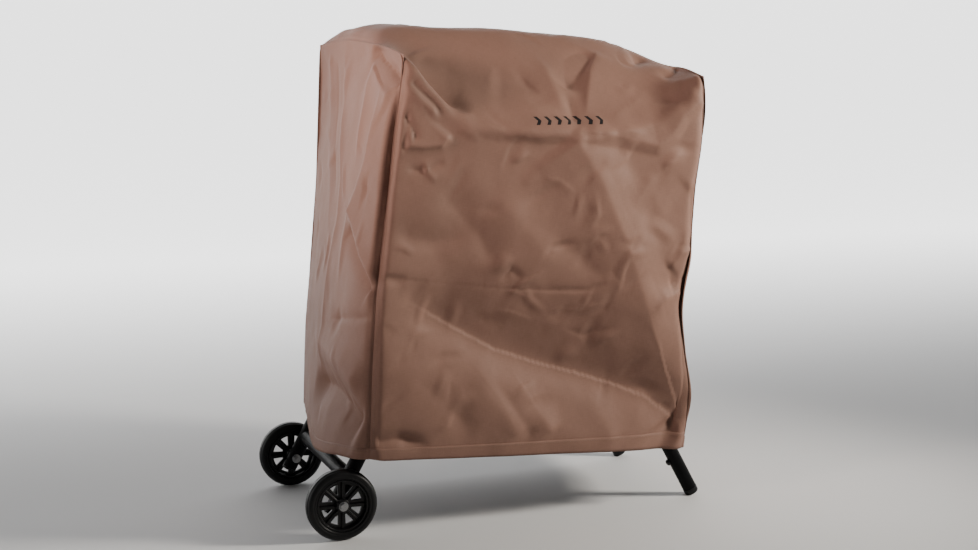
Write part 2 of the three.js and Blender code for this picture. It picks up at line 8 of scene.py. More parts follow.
import bmesh
import bpy
import numpy as np
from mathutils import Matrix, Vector


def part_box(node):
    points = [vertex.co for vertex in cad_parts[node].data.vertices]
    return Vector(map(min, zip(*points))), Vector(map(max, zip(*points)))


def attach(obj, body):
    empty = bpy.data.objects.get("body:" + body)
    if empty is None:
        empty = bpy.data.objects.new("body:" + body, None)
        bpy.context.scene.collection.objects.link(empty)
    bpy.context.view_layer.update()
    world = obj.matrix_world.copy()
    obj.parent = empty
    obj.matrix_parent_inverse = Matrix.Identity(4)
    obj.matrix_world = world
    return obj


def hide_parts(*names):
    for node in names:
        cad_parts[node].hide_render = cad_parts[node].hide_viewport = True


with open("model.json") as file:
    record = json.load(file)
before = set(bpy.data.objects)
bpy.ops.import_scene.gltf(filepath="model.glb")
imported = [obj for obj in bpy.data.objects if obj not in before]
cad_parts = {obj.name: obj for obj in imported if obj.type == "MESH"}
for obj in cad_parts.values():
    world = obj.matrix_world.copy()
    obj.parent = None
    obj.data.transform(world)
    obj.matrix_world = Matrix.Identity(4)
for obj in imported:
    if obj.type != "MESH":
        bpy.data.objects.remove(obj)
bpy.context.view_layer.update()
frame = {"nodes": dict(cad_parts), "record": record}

NODES = frame["nodes"]
CELL = 0.0045  # the spacing of the cover's mesh
CLOTH_THICKNESS = 0.0012


# ---- camera ----
camera = bpy.data.objects.new("camera", bpy.data.cameras.new("camera"))
bpy.context.collection.objects.link(camera)
bpy.context.scene.camera = camera
camera.data.sensor_width, camera.data.lens = 36, 53.7
camera.location = (-1.376, -3.656, 1.1255)
camera.rotation_mode = "QUATERNION"
YAW, PITCH = math.radians(21.0), math.radians(7.6)
LOOK = Vector((math.sin(YAW) * math.cos(PITCH), math.cos(YAW) * math.cos(PITCH), -math.sin(PITCH)))
camera.rotation_quaternion = LOOK.to_track_quat("-Z", "Y")
camera.data.clip_start, camera.data.clip_end = 0.05, 60


# ---- small helpers ----
def link(name, mesh, material=None):
    obj = bpy.data.objects.new(name, mesh)
    bpy.context.collection.objects.link(obj)
    if material:
        mesh.materials.append(material)
    for polygon in mesh.polygons:
        polygon.use_smooth = True
    return obj


def mesh_from(name, points, faces):
    mesh = bpy.data.meshes.new(name)
    mesh.from_pydata([tuple(p) for p in np.asarray(points, float)], [], [tuple(f) for f in faces])
    mesh.update()
    return mesh


def apply_modifiers(obj):
    graph = bpy.context.evaluated_depsgraph_get()
    mesh = bpy.data.meshes.new_from_object(obj.evaluated_get(graph))
    obj.modifiers.clear()
    obj.data = mesh
    return obj


def grid_faces(rows, columns, wrap=False):
    """Quads of a grid whose points are stored row by row; wrap joins the last column to the first."""
    index = np.arange(rows * columns).reshape(rows, columns)
    right = np.roll(index, -1, axis=1)
    last = columns if wrap else columns - 1
    corners = [index[:-1, :last], right[:-1, :last], right[1:, :last], index[1:, :last]]
    return np.stack(corners, -1).reshape(-1, 4)


def turns(steps):
    """Evenly spaced angles round a full turn."""
    return np.linspace(0, 2 * math.pi, steps, endpoint=False)


def unit(v):
    return v / np.maximum(np.linalg.norm(v, axis=-1, keepdims=True), 1e-9)


def piece(obj, body, slot, *nodes):
    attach(obj, body)
    if nodes:
        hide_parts(*nodes)
    return obj


# ---- materials ----
def new_material(name):
    material = bpy.data.materials.new(name)
    material.use_nodes = True
    tree = material.node_tree
    return material, tree, tree.nodes["Principled BSDF"]


def feed(tree, target, inputs):
    """Sets a node's inputs, and links those whose value is another node's output."""
    for key, value in dict(inputs).items():
        if isinstance(value, bpy.types.NodeSocket):
            tree.links.new(value, target.inputs[key])
        else:
            target.inputs[key].default_value = value
    return target


def node(tree, kind, inputs=(), **settings):
    made = tree.nodes.new(kind)
    for key, value in settings.items():
        setattr(made, key, value)
    return feed(tree, made, inputs)


def maths(tree, operation, a, b=0.0, c=0.0):
    return node(tree, "ShaderNodeMath", {0: a, 1: b, 2: c}, operation=operation).outputs[0]


def noise(tree, vector, scale, detail=3.0, roughness=0.55):
    return node(tree, "ShaderNodeTexNoise", {"Vector": vector, "Scale": scale, "Detail": detail,
                                             "Roughness": roughness}).outputs["Fac"]


def scaled(tree, vector, xyz):
    return node(tree, "ShaderNodeMapping", {"Vector": vector, "Scale": xyz}).outputs["Vector"]


def between(tree, factor, low, high, start=0.3, end=0.7):
    """A colour or a grey that runs from low to high; a plain number stands for a grey."""
    made = node(tree, "ShaderNodeValToRGB", {"Fac": factor})
    for element, position, value in zip(made.color_ramp.elements, (start, end), (low, high)):
        element.position = position
        element.color = (*(value if isinstance(value, tuple) else (value,) * 3), 1)
    return made.outputs["Color"]


def mix(tree, factor, a, b):
    return node(tree, "ShaderNodeMix", {0: factor, 6: a, 7: b}, data_type="RGBA").outputs[2]


def shade(colour, share):
    return tuple(c * share for c in colour)


def bump(tree, height, strength, distance, normal=None):
    inputs = {"Height": height, "Strength": strength, "Distance": distance}
    if normal:
        inputs["Normal"] = normal
    return node(tree, "ShaderNodeBump", inputs).outputs["Normal"]


def fabric_material(name, colour, printed=False):
    """Coated plain-weave polyester. Its UV map is in metres along the warp and the weft."""
    material, tree, shader = new_material(name)
    uv = node(tree, "ShaderNodeUVMap", uv_map="UVMap").outputs["UV"]
    space = node(tree, "ShaderNodeTexCoord").outputs["Object"]
    split = node(tree, "ShaderNodeSeparateXYZ", {0: uv})
    warp = maths(tree, "SINE", maths(tree, "MULTIPLY", split.outputs[0], 2 * math.pi / WEAVE_PITCH))
    weft = maths(tree, "SINE", maths(tree, "MULTIPLY", split.outputs[1], 2 * math.pi / WEAVE_PITCH))
    weave = maths(tree, "MULTIPLY", warp, weft)
    # thick and thin places in the threads, both ways
    slub = noise(tree, scaled(tree, uv, (55, 900, 1)), 1.0, 3, 0.6)
    slub_up = noise(tree, scaled(tree, uv, (700, 40, 1)), 1.0, 2, 0.5)
    grain = noise(tree, space, 520, 2)
    cloud = noise(tree, space, 5.5, 4)
    base = between(tree, cloud, shade(colour, 0.88), shade(colour, 1.1))
    threads = maths(tree, "MULTIPLY_ADD", slub, 0.5, maths(tree, "MULTIPLY", slub_up, 0.3))
    base = mix(tree, 0.5, base, between(tree, threads, shade(colour, 0.8), shade(colour, 1.16), end=0.55))
    if printed:
        base = mix(tree, printed_mark(tree, space), base, INK)
    wrinkle = noise(tree, space, 26, 5, 0.6)
    normal = bump(tree, wrinkle, 0.16, 0.004)
    normal = bump(tree, threads, 0.12, 0.0006, normal)
    normal = bump(tree, maths(tree, "MULTIPLY_ADD", weave, 0.5, grain), 0.25, 0.0002, normal)
    feed(tree, shader, {"Base Color": base, "Normal": normal, "Roughness": between(tree, grain, 0.5, 0.62),
                        "Specular IOR Level": 0.08, "Sheen Weight": 0.02, "Sheen Roughness": 0.45,
                        "Sheen Tint": (1, 0.9, 0.84, 1)})
    return material


WEAVE_PITCH = 0.0011  # two threads
MARK = {"x": 0.132, "z": 1.026, "half_width": 0.1, "half_height": 0.01, "pitch": 0.0286,
        "half_stroke": 0.0286 * 0.17, "slant": 0.8}
INK = (0.012, 0.012, 0.013, 1)


def printed_mark(tree, space):
    """A generic print on the front: one row of plain chevrons. Returns 1 on the ink."""
    split = node(tree, "ShaderNodeSeparateXYZ", {0: space})
    across = maths(tree, "SUBTRACT", split.outputs[0], MARK["x"])
    up = maths(tree, "SUBTRACT", split.outputs[2], MARK["z"])
    slant = maths(tree, "MULTIPLY", maths(tree, "ABSOLUTE", up), MARK["slant"])
    place = maths(tree, "ADD", maths(tree, "ADD", across, MARK["half_width"] - MARK["pitch"] / 2), slant)
    stripe = maths(tree, "LESS_THAN", maths(tree, "PINGPONG", place, MARK["pitch"] / 2), MARK["half_stroke"])
    inside = maths(tree, "LESS_THAN", maths(tree, "ABSOLUTE", across), MARK["half_width"])
    level = maths(tree, "LESS_THAN", maths(tree, "ABSOLUTE", up), MARK["half_height"])
    inside = maths(tree, "MULTIPLY", inside, level)
    front = maths(tree, "LESS_THAN", split.outputs[1], 0.0)
    return maths(tree, "MULTIPLY", maths(tree, "MULTIPLY", inside, front), stripe)


def plain_material(name, colour, roughness, grain, depth=0.12, coat=0.0, shine=0.5):
    """Moulded plastic, rubber or powder coat: fine grain, and a little variation in colour and shine."""
    material, tree, shader = new_material(name)
    space = node(tree, "ShaderNodeTexCoord").outputs["Object"]
    fine = noise(tree, space, grain, 2)
    broad = noise(tree, space, 14, 4)
    feed(tree, shader, {"Base Color": between(tree, broad, shade(colour, 0.88), shade(colour, 1.12)),
                        "Roughness": between(tree, broad, roughness - 0.06, roughness + 0.06),
                        "Normal": bump(tree, fine, depth, 0.0003), "Coat Weight": coat,
                        "Specular IOR Level": shine})
    return material


def brushed_material(name, colour, roughness, direction):
    """Metal drawn along one axis: fine streaks in its shine."""
    material, tree, shader = new_material(name)
    space = node(tree, "ShaderNodeTexCoord").outputs["Object"]
    streak = noise(tree, scaled(tree, space, direction), 1.0, 3, 0.7)
    feed(tree, shader, {"Base Color": between(tree, streak, shade(colour, 0.88), colour, 0.2, 0.8),
                        "Roughness": between(tree, streak, roughness - 0.08, roughness + 0.1),
                        "Normal": bump(tree, streak, 0.1, 0.0002), "Metallic": 1.0})
    return material


FABRIC_COLOUR = (0.205, 0.117, 0.089)
BLACK, DEEP_BLACK = (0.004, 0.004, 0.0045), (0.0035, 0.0035, 0.004)
M = {
    "fabric": fabric_material("cover_fabric", FABRIC_COLOUR),
    "fabric_printed": fabric_material("cover_fabric_printed", FABRIC_COLOUR, printed=True),
    "binding": fabric_material("seam_binding", shade(FABRIC_COLOUR, 0.8)),
    "thread": plain_material("thread", (0.2, 0.125, 0.09), 0.6, grain=2500),
    "black_paint": plain_material("powder_coat", BLACK, 0.42, grain=650, depth=0.2, shine=0.06),
    "black_plastic": plain_material("moulded_plastic", DEEP_BLACK, 0.32, grain=1100, shine=0.25),
    "tyre": plain_material("tyre_rubber", BLACK, 0.44, grain=800, depth=0.18, shine=0.22),
    "bright_steel": brushed_material("brushed_steel", (0.62, 0.62, 0.63), 0.3, (6, 900, 900)),
    "zinc_hardware": brushed_material("zinc_plate", (0.3, 0.305, 0.31), 0.3, (400, 60, 400)),
    "display": plain_material("display_glass", (0.02, 0.03, 0.032), 0.12, grain=200, depth=0.0, coat=0.6),
}
for part in frame["record"]["subparts"]:
    material = M.get(part["material_slot"])
    if material:
        data = NODES[part["node"]].data
        data.materials.clear()
        data.materials.append(material)


# ---- the cover's form ----
def table(pairs):
    """A smooth curve through (position, value) pairs."""
    xs, ys = (np.array(column, float) for column in zip(*pairs))
    slopes = np.gradient(ys, xs)

    def at(x):
        x = np.clip(np.asarray(x, float), xs[0], xs[-1])
        k = np.clip(np.searchsorted(xs, x) - 1, 0, len(xs) - 2)
        h = xs[k + 1] - xs[k]
        t = (x - xs[k]) / h
        return ((2 * t**3 - 3 * t**2 + 1) * ys[k] + (t**3 - 2 * t**2 + t) * h * slopes[k]
                + (3 * t**2 - 2 * t**3) * ys[k + 1] + (t**3 - t**2) * h * slopes[k + 1])
    return at


# Where the four corner seams run, by height
LEFT_FRONT_X = table([
    (0.0, -0.405), (0.21, -0.403), (0.35, -0.397), (0.5, -0.39), (0.62, -0.383), (0.7, -0.375),
    (0.84, -0.359), (0.98, -0.342), (1.08, -0.322), (1.136, -0.309), (1.186, -0.301)])
LEFT_BACK_X = table([
    (0.0, -0.42), (0.19, -0.415), (0.35, -0.411), (0.52, -0.4), (0.71, -0.38), (0.93, -0.364),
    (1.1, -0.354), (1.22, -0.356)])
RIGHT_FRONT_X = table([
    (0.0, 0.466), (0.16, 0.468), (0.205, 0.475), (0.27, 0.49), (0.42, 0.471), (0.53, 0.46), (0.6, 0.468),
    (0.66, 0.48), (0.79, 0.486), (0.87, 0.494), (0.95, 0.507), (1.05, 0.519), (1.1, 0.517), (1.136, 0.512)])
RIGHT_BACK_X = table([(0.0, 0.508), (0.3, 0.503), (0.85, 0.498), (1.14, 0.5)])
# How far each end panel bulges between its seams, by height
LEFT_BULGE = table([
    (0.0, 0.075), (0.2, 0.062), (0.3, 0.05), (0.45, 0.034), (0.7, 0.022), (1.0, 0.012), (1.19, 0.0)])
RIGHT_BULGE = table([(0.0, 0.02), (0.3, 0.018), (0.55, 0.03), (0.9, 0.015), (1.14, 0.0)])
BULGE_PEAK = 0.36  # the share of the way from the front seam to the back seam

# The top, by X along the front edge: the height of the front edge, of four lines across it (at TOP_Y), and of
# the back edge
TOP = [
    (-0.301, 1.186, 1.206, 1.22, 1.23, 1.228, 1.222), (-0.285, 1.168, 1.2, 1.238, 1.254, 1.254, 1.234),
    (-0.255, 1.134, 1.18, 1.256, 1.268, 1.262, 1.232), (-0.215, 1.094, 1.16, 1.264, 1.272, 1.256, 1.212),
    (-0.16, 1.044, 1.148, 1.264, 1.27, 1.236, 1.18), (-0.1, 1.016, 1.144, 1.262, 1.266, 1.212, 1.15),
    (-0.03, 1.004, 1.144, 1.26, 1.262, 1.196, 1.135), (0.06, 1.0, 1.146, 1.257, 1.259, 1.186, 1.125),
    (0.15, 0.998, 1.146, 1.253, 1.255, 1.178, 1.122), (0.24, 1.002, 1.146, 1.246, 1.248, 1.174, 1.12),
    (0.32, 1.014, 1.148, 1.237, 1.24, 1.17, 1.12), (0.39, 1.04, 1.154, 1.216, 1.218, 1.166, 1.12),
    (0.45, 1.086, 1.16, 1.192, 1.192, 1.16, 1.122), (0.501, 1.136, 1.158, 1.164, 1.164, 1.154, 1.126),
]
TOP_CURVES = [table([(row[0], row[k]) for row in TOP]) for k in range(1, 7)]
TOP_Y = (-0.19, -0.065, 0.075, 0.2)
FRONT_Y, BACK_Y = -0.311, 0.306
BACK_EDGE_Y = BACK_Y - 0.012  # the top's back edge sits a little inside the back panel
SEAM_Y = -0.292  # the front turns the corner before it meets the side
# How deep the cloth is drawn in at the left front seam, by height, and over what share of the front's width
SEAM_TUCK = table([
    (0.0, 0.005), (0.55, 0.006), (0.64, 0.01), (0.72, 0.016), (0.95, 0.018), (1.05, 0.013), (1.12, 0.004),
    (1.15, 0.0)])
TUCK_SHARE, CORNER_SHARE = 0.009, 0.013
FRONT_LEVELS, BACK_LEVELS = (0.3, 0.42, 0.53, 0.6, 0.7, 0.85, 0.97), (0.85, 0.6, 0.3)
FRONT_EDGE, FRONT_EDGE_RUN = 7, 0.1  # the stretch of the section below the top's front edge, and its length
WRAP_WIDTH, SIDE_DEPTH, SIDE_HEIGHT = 0.9, 0.62, 1.0
LEFT_HEM = table([
    (-0.31, 0.205), (-0.2, 0.198), (-0.1, 0.184), (-0.03, 0.179), (0.04, 0.192), (0.12, 0.216),
    (0.31, 0.222)])


def hem_height(x, y):
    """The hem hangs lower to the right; on the left it dips in the middle and rises over the back wheel."""
    base = 0.203 - 0.054 * (x + 0.39)
    back = 0.203 - 0.0561 * (x + 0.394) - 0.0838 * (np.minimum(y, -0.05) + 0.31)
    share = np.clip((y + 0.3) / 0.2, 0, 1)
    height = base * (1 - share) + back * share
    return np.where(x < -0.38, LEFT_HEM(y), height)


def resample(points, counts):
    """Points along a polyline, with a set number of steps on each of its stretches."""
    out = []
    for a, b, n in zip(points[:-1], points[1:], counts):
        out.extend(a + (b - a) * k / n for k in range(n))
    return np.array(out + [points[-1]])


def smooth_rows(points, passes, axis):
    """Rounds a grid along one axis; its two ends keep their place."""
    p = np.moveaxis(points, axis, 0).copy()
    for _ in range(passes):
        q = p.copy()
        q[1:-1] = p[1:-1] + 0.5 * (0.5 * (p[:-2] + p[2:]) - p[1:-1])
        p = q
    return np.moveaxis(p, 0, axis)


def wrap_section(u):
    """The cloth's section at the share u of its width: from the front hem over the top to the back hem."""
    x_top = TOP[0][0] + u * (TOP[-1][0] - TOP[0][0])
    z = [curve(x_top) for curve in TOP_CURVES]
    tuck = math.exp(-((u / TUCK_SHARE) ** 2))
    turn = math.exp(-((u / CORNER_SHARE) ** 2)) + math.exp(-(((1 - u) / CORNER_SHARE) ** 2))
    edge = (SEAM_Y - FRONT_Y) * turn

    def front(h, height):
        drawn_in = SEAM_TUCK(h) * tuck
        waist = 0.018 * math.exp(-(((h - 0.56) / 0.11) ** 2)) * math.exp(-(((1 - u) / 0.1) ** 2))
        x = LEFT_FRONT_X(h) + u * (RIGHT_FRONT_X(h) - LEFT_FRONT_X(h)) + drawn_in
        return x, FRONT_Y + edge + drawn_in + waist, height

    def back_x(h):
        return LEFT_BACK_X(h) + u * (RIGHT_BACK_X(h) - LEFT_BACK_X(h))

    bottom = float(hem_height(front(0.2, 0.2)[0], FRONT_Y))
    points = [front(h, h) for h in (bottom, *FRONT_LEVELS, z[0])]
    skew = back_x(1.14) - x_top
    points += [(x_top + skew * (y - FRONT_Y) / (BACK_Y - FRONT_Y), y, h) for y, h in zip(TOP_Y, z[1:5])]
    bottom = float(hem_height(back_x(0.2), BACK_Y))
    points.append((back_x(z[5]), BACK_EDGE_Y, z[5]))
    points += [(back_x(h), BACK_Y, h) for h in BACK_LEVELS]
    points.append((back_x(bottom), BACK_Y + 0.003, bottom))
    return np.array(points, float)


def wrap_grid():
    """Front, top and back in one cloth: rows from the front hem to the back hem, columns left to right."""
    sections = [wrap_section(u) for u in np.linspace(0, 1, int(WRAP_WIDTH / CELL))]
    lengths = np.linalg.norm(np.diff(sections[0], axis=0), axis=1)
    lengths[FRONT_EDGE] = FRONT_EDGE_RUN
    counts = [max(2, int(round(length / CELL))) for length in lengths]
    grid = np.stack([resample(points, counts) for points in sections], axis=1)
    passes = int(18 * (0.006 / CELL) ** 2)
    grid = smooth_rows(grid, passes, 0)
    grid[:, 1:-1] = smooth_rows(grid, passes // 6, 1)[:, 1:-1]
    return grid


def side_grid(side):
    """A side panel: rows from the hem up to the top seam, columns from the front seam to the back seam."""
    columns, rows = int(SIDE_DEPTH / CELL), int(SIDE_HEIGHT / CELL)
    left = side < 0
    front_x, back_x, bulge = RIGHT_FRONT_X, RIGHT_BACK_X, RIGHT_BULGE
    if left:
        front_x, back_x, bulge = LEFT_FRONT_X, LEFT_BACK_X, LEFT_BULGE
    ys = np.array([SEAM_Y, *TOP_Y, BACK_EDGE_Y])
    zs = np.array(TOP[0 if left else -1][1:])
    top_z = table(list(zip(ys, zs)))
    out = np.zeros((rows, columns, 3))
    for j, s in enumerate(np.linspace(0, 1, columns)):
        y = ys[0] + s * (BACK_Y - ys[0])
        shape = math.sin(math.pi * s ** (math.log(0.5) / math.log(BULGE_PEAK))) ** 0.75 if 0 < s < 1 else 0.0
        mid = (1 - s) * front_x(0.2) + s * back_x(0.2)
        low = float(hem_height(mid + side * 0.02, y))
        high = float(top_z(y))
        for i, t in enumerate(np.linspace(0, 1, rows)):
            z = low + (high - low) * t
            x = (1 - s) * front_x(min(z, zs[0])) + s * back_x(z)
            inward = SEAM_TUCK(z) * math.exp(-(((y - SEAM_Y) / 0.01) ** 2)) if left else 0.0
            x += inward
            out[i, j] = (x + side * bulge(z) * shape, y + inward - 0.012 * s * max(0.0, z - 1.0) / 0.2, z)
    return out


def normals_of(grid, outward):
    """Unit normals of a grid of points; outward says which way they face on the whole."""
    n = unit(np.cross(np.gradient(grid, axis=1), np.gradient(grid, axis=0)))
    return n if (n * outward(grid)).sum() > 0 else -n


# ---- folds and creases ----
def segment_distance(points, path):
    """Distance of each point to a polyline, how far along that is, the nearest point and its direction."""
    path = np.asarray(path, float)
    steps = np.linalg.norm(np.diff(path, axis=0), axis=1)
    starts = np.concatenate([[0], np.cumsum(steps)]) / steps.sum()
    best = np.full(len(points), 1e9)
    along, near, way = np.zeros(len(points)), np.zeros_like(points), np.zeros_like(points)
    for a, b, s0, s1 in zip(path[:-1], path[1:], starts[:-1], starts[1:]):
        d = b - a
        t = np.clip(((points - a) @ d) / (d @ d), 0, 1)
        q = a + t[:, None] * d
        distance = np.linalg.norm(points - q, axis=1)
        closer = distance < best
        best[closer], along[closer] = distance[closer], (s0 + (s1 - s0) * t)[closer]
        near[closer], way[closer] = q[closer], unit(d)
    return best, along, near, way


# How round the line is where two facets meet: a least radius, and a share of the facets' width
CREST, RIDGE_SHARE, VALLEY_SHARE = 0.0035, 0.018, 0.055
FOOT = 0.3  # the share of a facet that eases into the cloth around it
FOLD_REACH = 0.2  # no fold is wider than this


def fold(grid, normals, path, height, left, right, sharp, fade):
    """Raises (or sinks) the cloth along a path.

    left and right are its widths on each side of the way it runs. sharp is the power of its profile, or 0 for
    two flat facets. fade is the share of the length over which each end dies out.
    """
    flat = grid.reshape(-1, 3)
    low, high = np.min(path, axis=0) - FOLD_REACH, np.max(path, axis=0) + FOLD_REACH
    mask = np.all((flat > low) & (flat < high), axis=1)
    if not mask.any():
        return grid
    p, n = flat[mask], normals.reshape(-1, 3)[mask]
    distance, along, near, way = segment_distance(p, path)
    side = np.einsum("ij,ij->i", np.cross(n, way), p - near)
    width = np.where(side > 0, left, right)
    ends = np.clip(along / max(fade[0], 1e-3), 0, 1) * np.clip((1 - along) / max(fade[1], 1e-3), 0, 1)
    if sharp:
        profile = np.exp(-((distance / width) ** sharp))
    else:
        crest = CREST + (RIDGE_SHARE if height > 0 else VALLEY_SHARE) * width
        rise = np.clip(1 - (np.sqrt(distance**2 + crest**2) - crest) / width, 0, 1)
        profile = np.where(rise < FOOT, rise**2 / (2 * FOOT), rise - FOOT / 2) / (1 - FOOT / 2)
    amount = height * profile * ends * ends * (3 - 2 * ends)
    flat = flat.copy()
    flat[mask] += n * amount[:, None]
    return flat.reshape(grid.shape)


def dent(grid, normals, centre, reach, amount):
    """Pushes the cloth in or out over a soft patch."""
    d = (((grid - np.array(centre)) / np.array(reach)) ** 2).sum(-1)
    return grid + normals * (amount * np.exp(-d))[..., None]


# The rows below are fold()'s arguments, from path on. All of the front's paths lie in one plane, so they are
# given as (x, z).
F = FRONT_Y
VALLEY = [(-0.374, 0.637), (-0.285, 0.583), (-0.195, 0.528), (-0.063, 0.452), (0.06, 0.407),
          (0.158, 0.377), (0.272, 0.337), (0.359, 0.301), (0.474, 0.215)]
RIDGE = [(0.125, 0.996), (0.165, 0.935), (0.209, 0.868), (0.272, 0.728), (0.318, 0.608), (0.36, 0.5),
         (0.411, 0.372), (0.47, 0.235)]
FRONT_FOLDS = [
    # the valley from the left seam to the lower right corner, between two large facets
    (VALLEY, -0.036, 0.24, 0.17, 0, (0.2, 0.04)),
    (VALLEY, -0.017, 0.07, 0.04, 1.7, (0.3, 0.03)),
    # the long ridge from the print down to the same corner, and the line beside it
    (RIDGE, 0.02, 0.11, 0.2, 0, (0.04, 0.03)),
    (RIDGE, 0.0024, 0.008, 0.01, 1.3, (0.15, 0.1)),
    ([(0.146, 0.99), (0.228, 0.888), (0.301, 0.74), (0.345, 0.634), (0.4, 0.526), (0.451, 0.44)], -0.0016,
     0.01, 0.008, 1.3, (0.08, 0.3)),
    # packing crease across the front
    ([(-0.383, 0.657), (-0.323, 0.651), (-0.221, 0.634), (-0.063, 0.613), (0.1, 0.6), (0.24, 0.593)], -0.005,
     0.006, 0.012, 1.2, (0.02, 0.2)),
    ([(-0.29, 0.64), (-0.115, 0.616), (0.1, 0.592), (0.25, 0.588)], 0.0032, 0.006, 0.012, 1.3, (0.2, 0.3)),
    ([(-0.383, 0.65), (-0.34, 0.646), (-0.3, 0.64)], -0.006, 0.008, 0.012, 1.2, (0.02, 0.3)),
    # small crinkles
    ([(-0.31, 0.913), (-0.253, 0.911)], -0.006, 0.012, 0.008, 1.3, (0.5, 0.1)),
    ([(-0.262, 0.94), (-0.253, 0.911), (-0.227, 0.876)], 0.005, 0.012, 0.008, 1.3, (0.3, 0.3)),
    ([(-0.253, 0.911), (-0.2, 0.93)], -0.004, 0.01, 0.008, 1.3, (0.1, 0.4)),
    ([(0.045, 0.892), (0.098, 0.878), (0.14, 0.845)], 0.0045, 0.006, 0.012, 1.2, (0.3, 0.2)),
    ([(-0.065, 0.63), (-0.031, 0.657), (0.006, 0.634)], -0.0065, 0.008, 0.014, 1.3, (0.3, 0.3)),
    ([(-0.045, 0.612), (0.03, 0.583)], 0.0045, 0.006, 0.012, 1.3, (0.3, 0.3)),
    ([(-0.07, 0.56), (-0.009, 0.545), (0.045, 0.52)], 0.006, 0.007, 0.016, 1.2, (0.25, 0.25)),
    ([(-0.205, 0.54), (-0.129, 0.554), (-0.063, 0.495), (-0.01, 0.456)], -0.006, 0.014, 0.008, 1.2,
     (0.15, 0.2)),
    ([(0.03, 0.47), (0.075, 0.455), (0.125, 0.462)], 0.0045, 0.008, 0.012, 1.3, (0.3, 0.3)),
    ([(0.19, 0.62), (0.235, 0.64), (0.27, 0.6)], -0.004, 0.014, 0.01, 1.4, (0.3, 0.3)),
    ([(0.06, 0.74), (0.15, 0.69), (0.23, 0.6)], -0.006, 0.03, 0.03, 1.6, (0.3, 0.3)),
    # broad slack waves
    ([(-0.23, 0.88), (-0.116, 0.748), (-0.07, 0.66)], -0.009, 0.05, 0.035, 1.6, (0.3, 0.2)),
    ([(-0.34, 0.76), (-0.23, 0.73), (-0.12, 0.75)], -0.008, 0.035, 0.03, 1.6, (0.2, 0.3)),
    ([(-0.09, 0.86), (0.02, 0.74), (0.1, 0.64)], 0.007, 0.05, 0.06, 1.6, (0.3, 0.3)),
    ([(-0.143, 0.437), (-0.063, 0.329), (-0.008, 0.221)], 0.007, 0.045, 0.035, 1.6, (0.3, 0.1)),
    ([(-0.017, 0.4), (0.038, 0.308), (0.085, 0.225)], 0.008, 0.03, 0.04, 1.5, (0.3, 0.1)),
    ([(-0.08, 0.4), (-0.02, 0.3), (0.03, 0.22)], -0.006, 0.025, 0.025, 1.5, (0.3, 0.1)),
    ([(-0.31, 0.42), (-0.2, 0.33), (-0.13, 0.24)], -0.006, 0.04, 0.04, 1.6, (0.3, 0.2)),
    ([(0.18, 0.33), (0.23, 0.26), (0.26, 0.19)], 0.005, 0.03, 0.03, 1.6, (0.3, 0.1)),
    ([(-0.39, 0.245), (-0.326, 0.248), (-0.24, 0.228)], -0.012, 0.022, 0.012, 1.5, (0.05, 0.4)),
    # towards the right seam
    ([(0.295, 0.8), (0.35, 0.87), (0.45, 0.96)], 0.006, 0.024, 0.03, 1.5, (0.3, 0.2)),
    ([(0.3, 0.72), (0.4, 0.78), (0.47, 0.86)], -0.005, 0.03, 0.03, 1.6, (0.3, 0.1)),
    ([(0.405, 0.64), (0.446, 0.68), (0.485, 0.69)], 0.01, 0.012, 0.03, 1.4, (0.2, 0.05)),
    ([(0.412, 0.59), (0.452, 0.602), (0.485, 0.595)], -0.011, 0.018, 0.012, 1.4, (0.2, 0.03)),
    ([(0.34, 0.52), (0.4, 0.565), (0.455, 0.58)], 0.01, 0.014, 0.022, 1.4, (0.4, 0.05)),
]
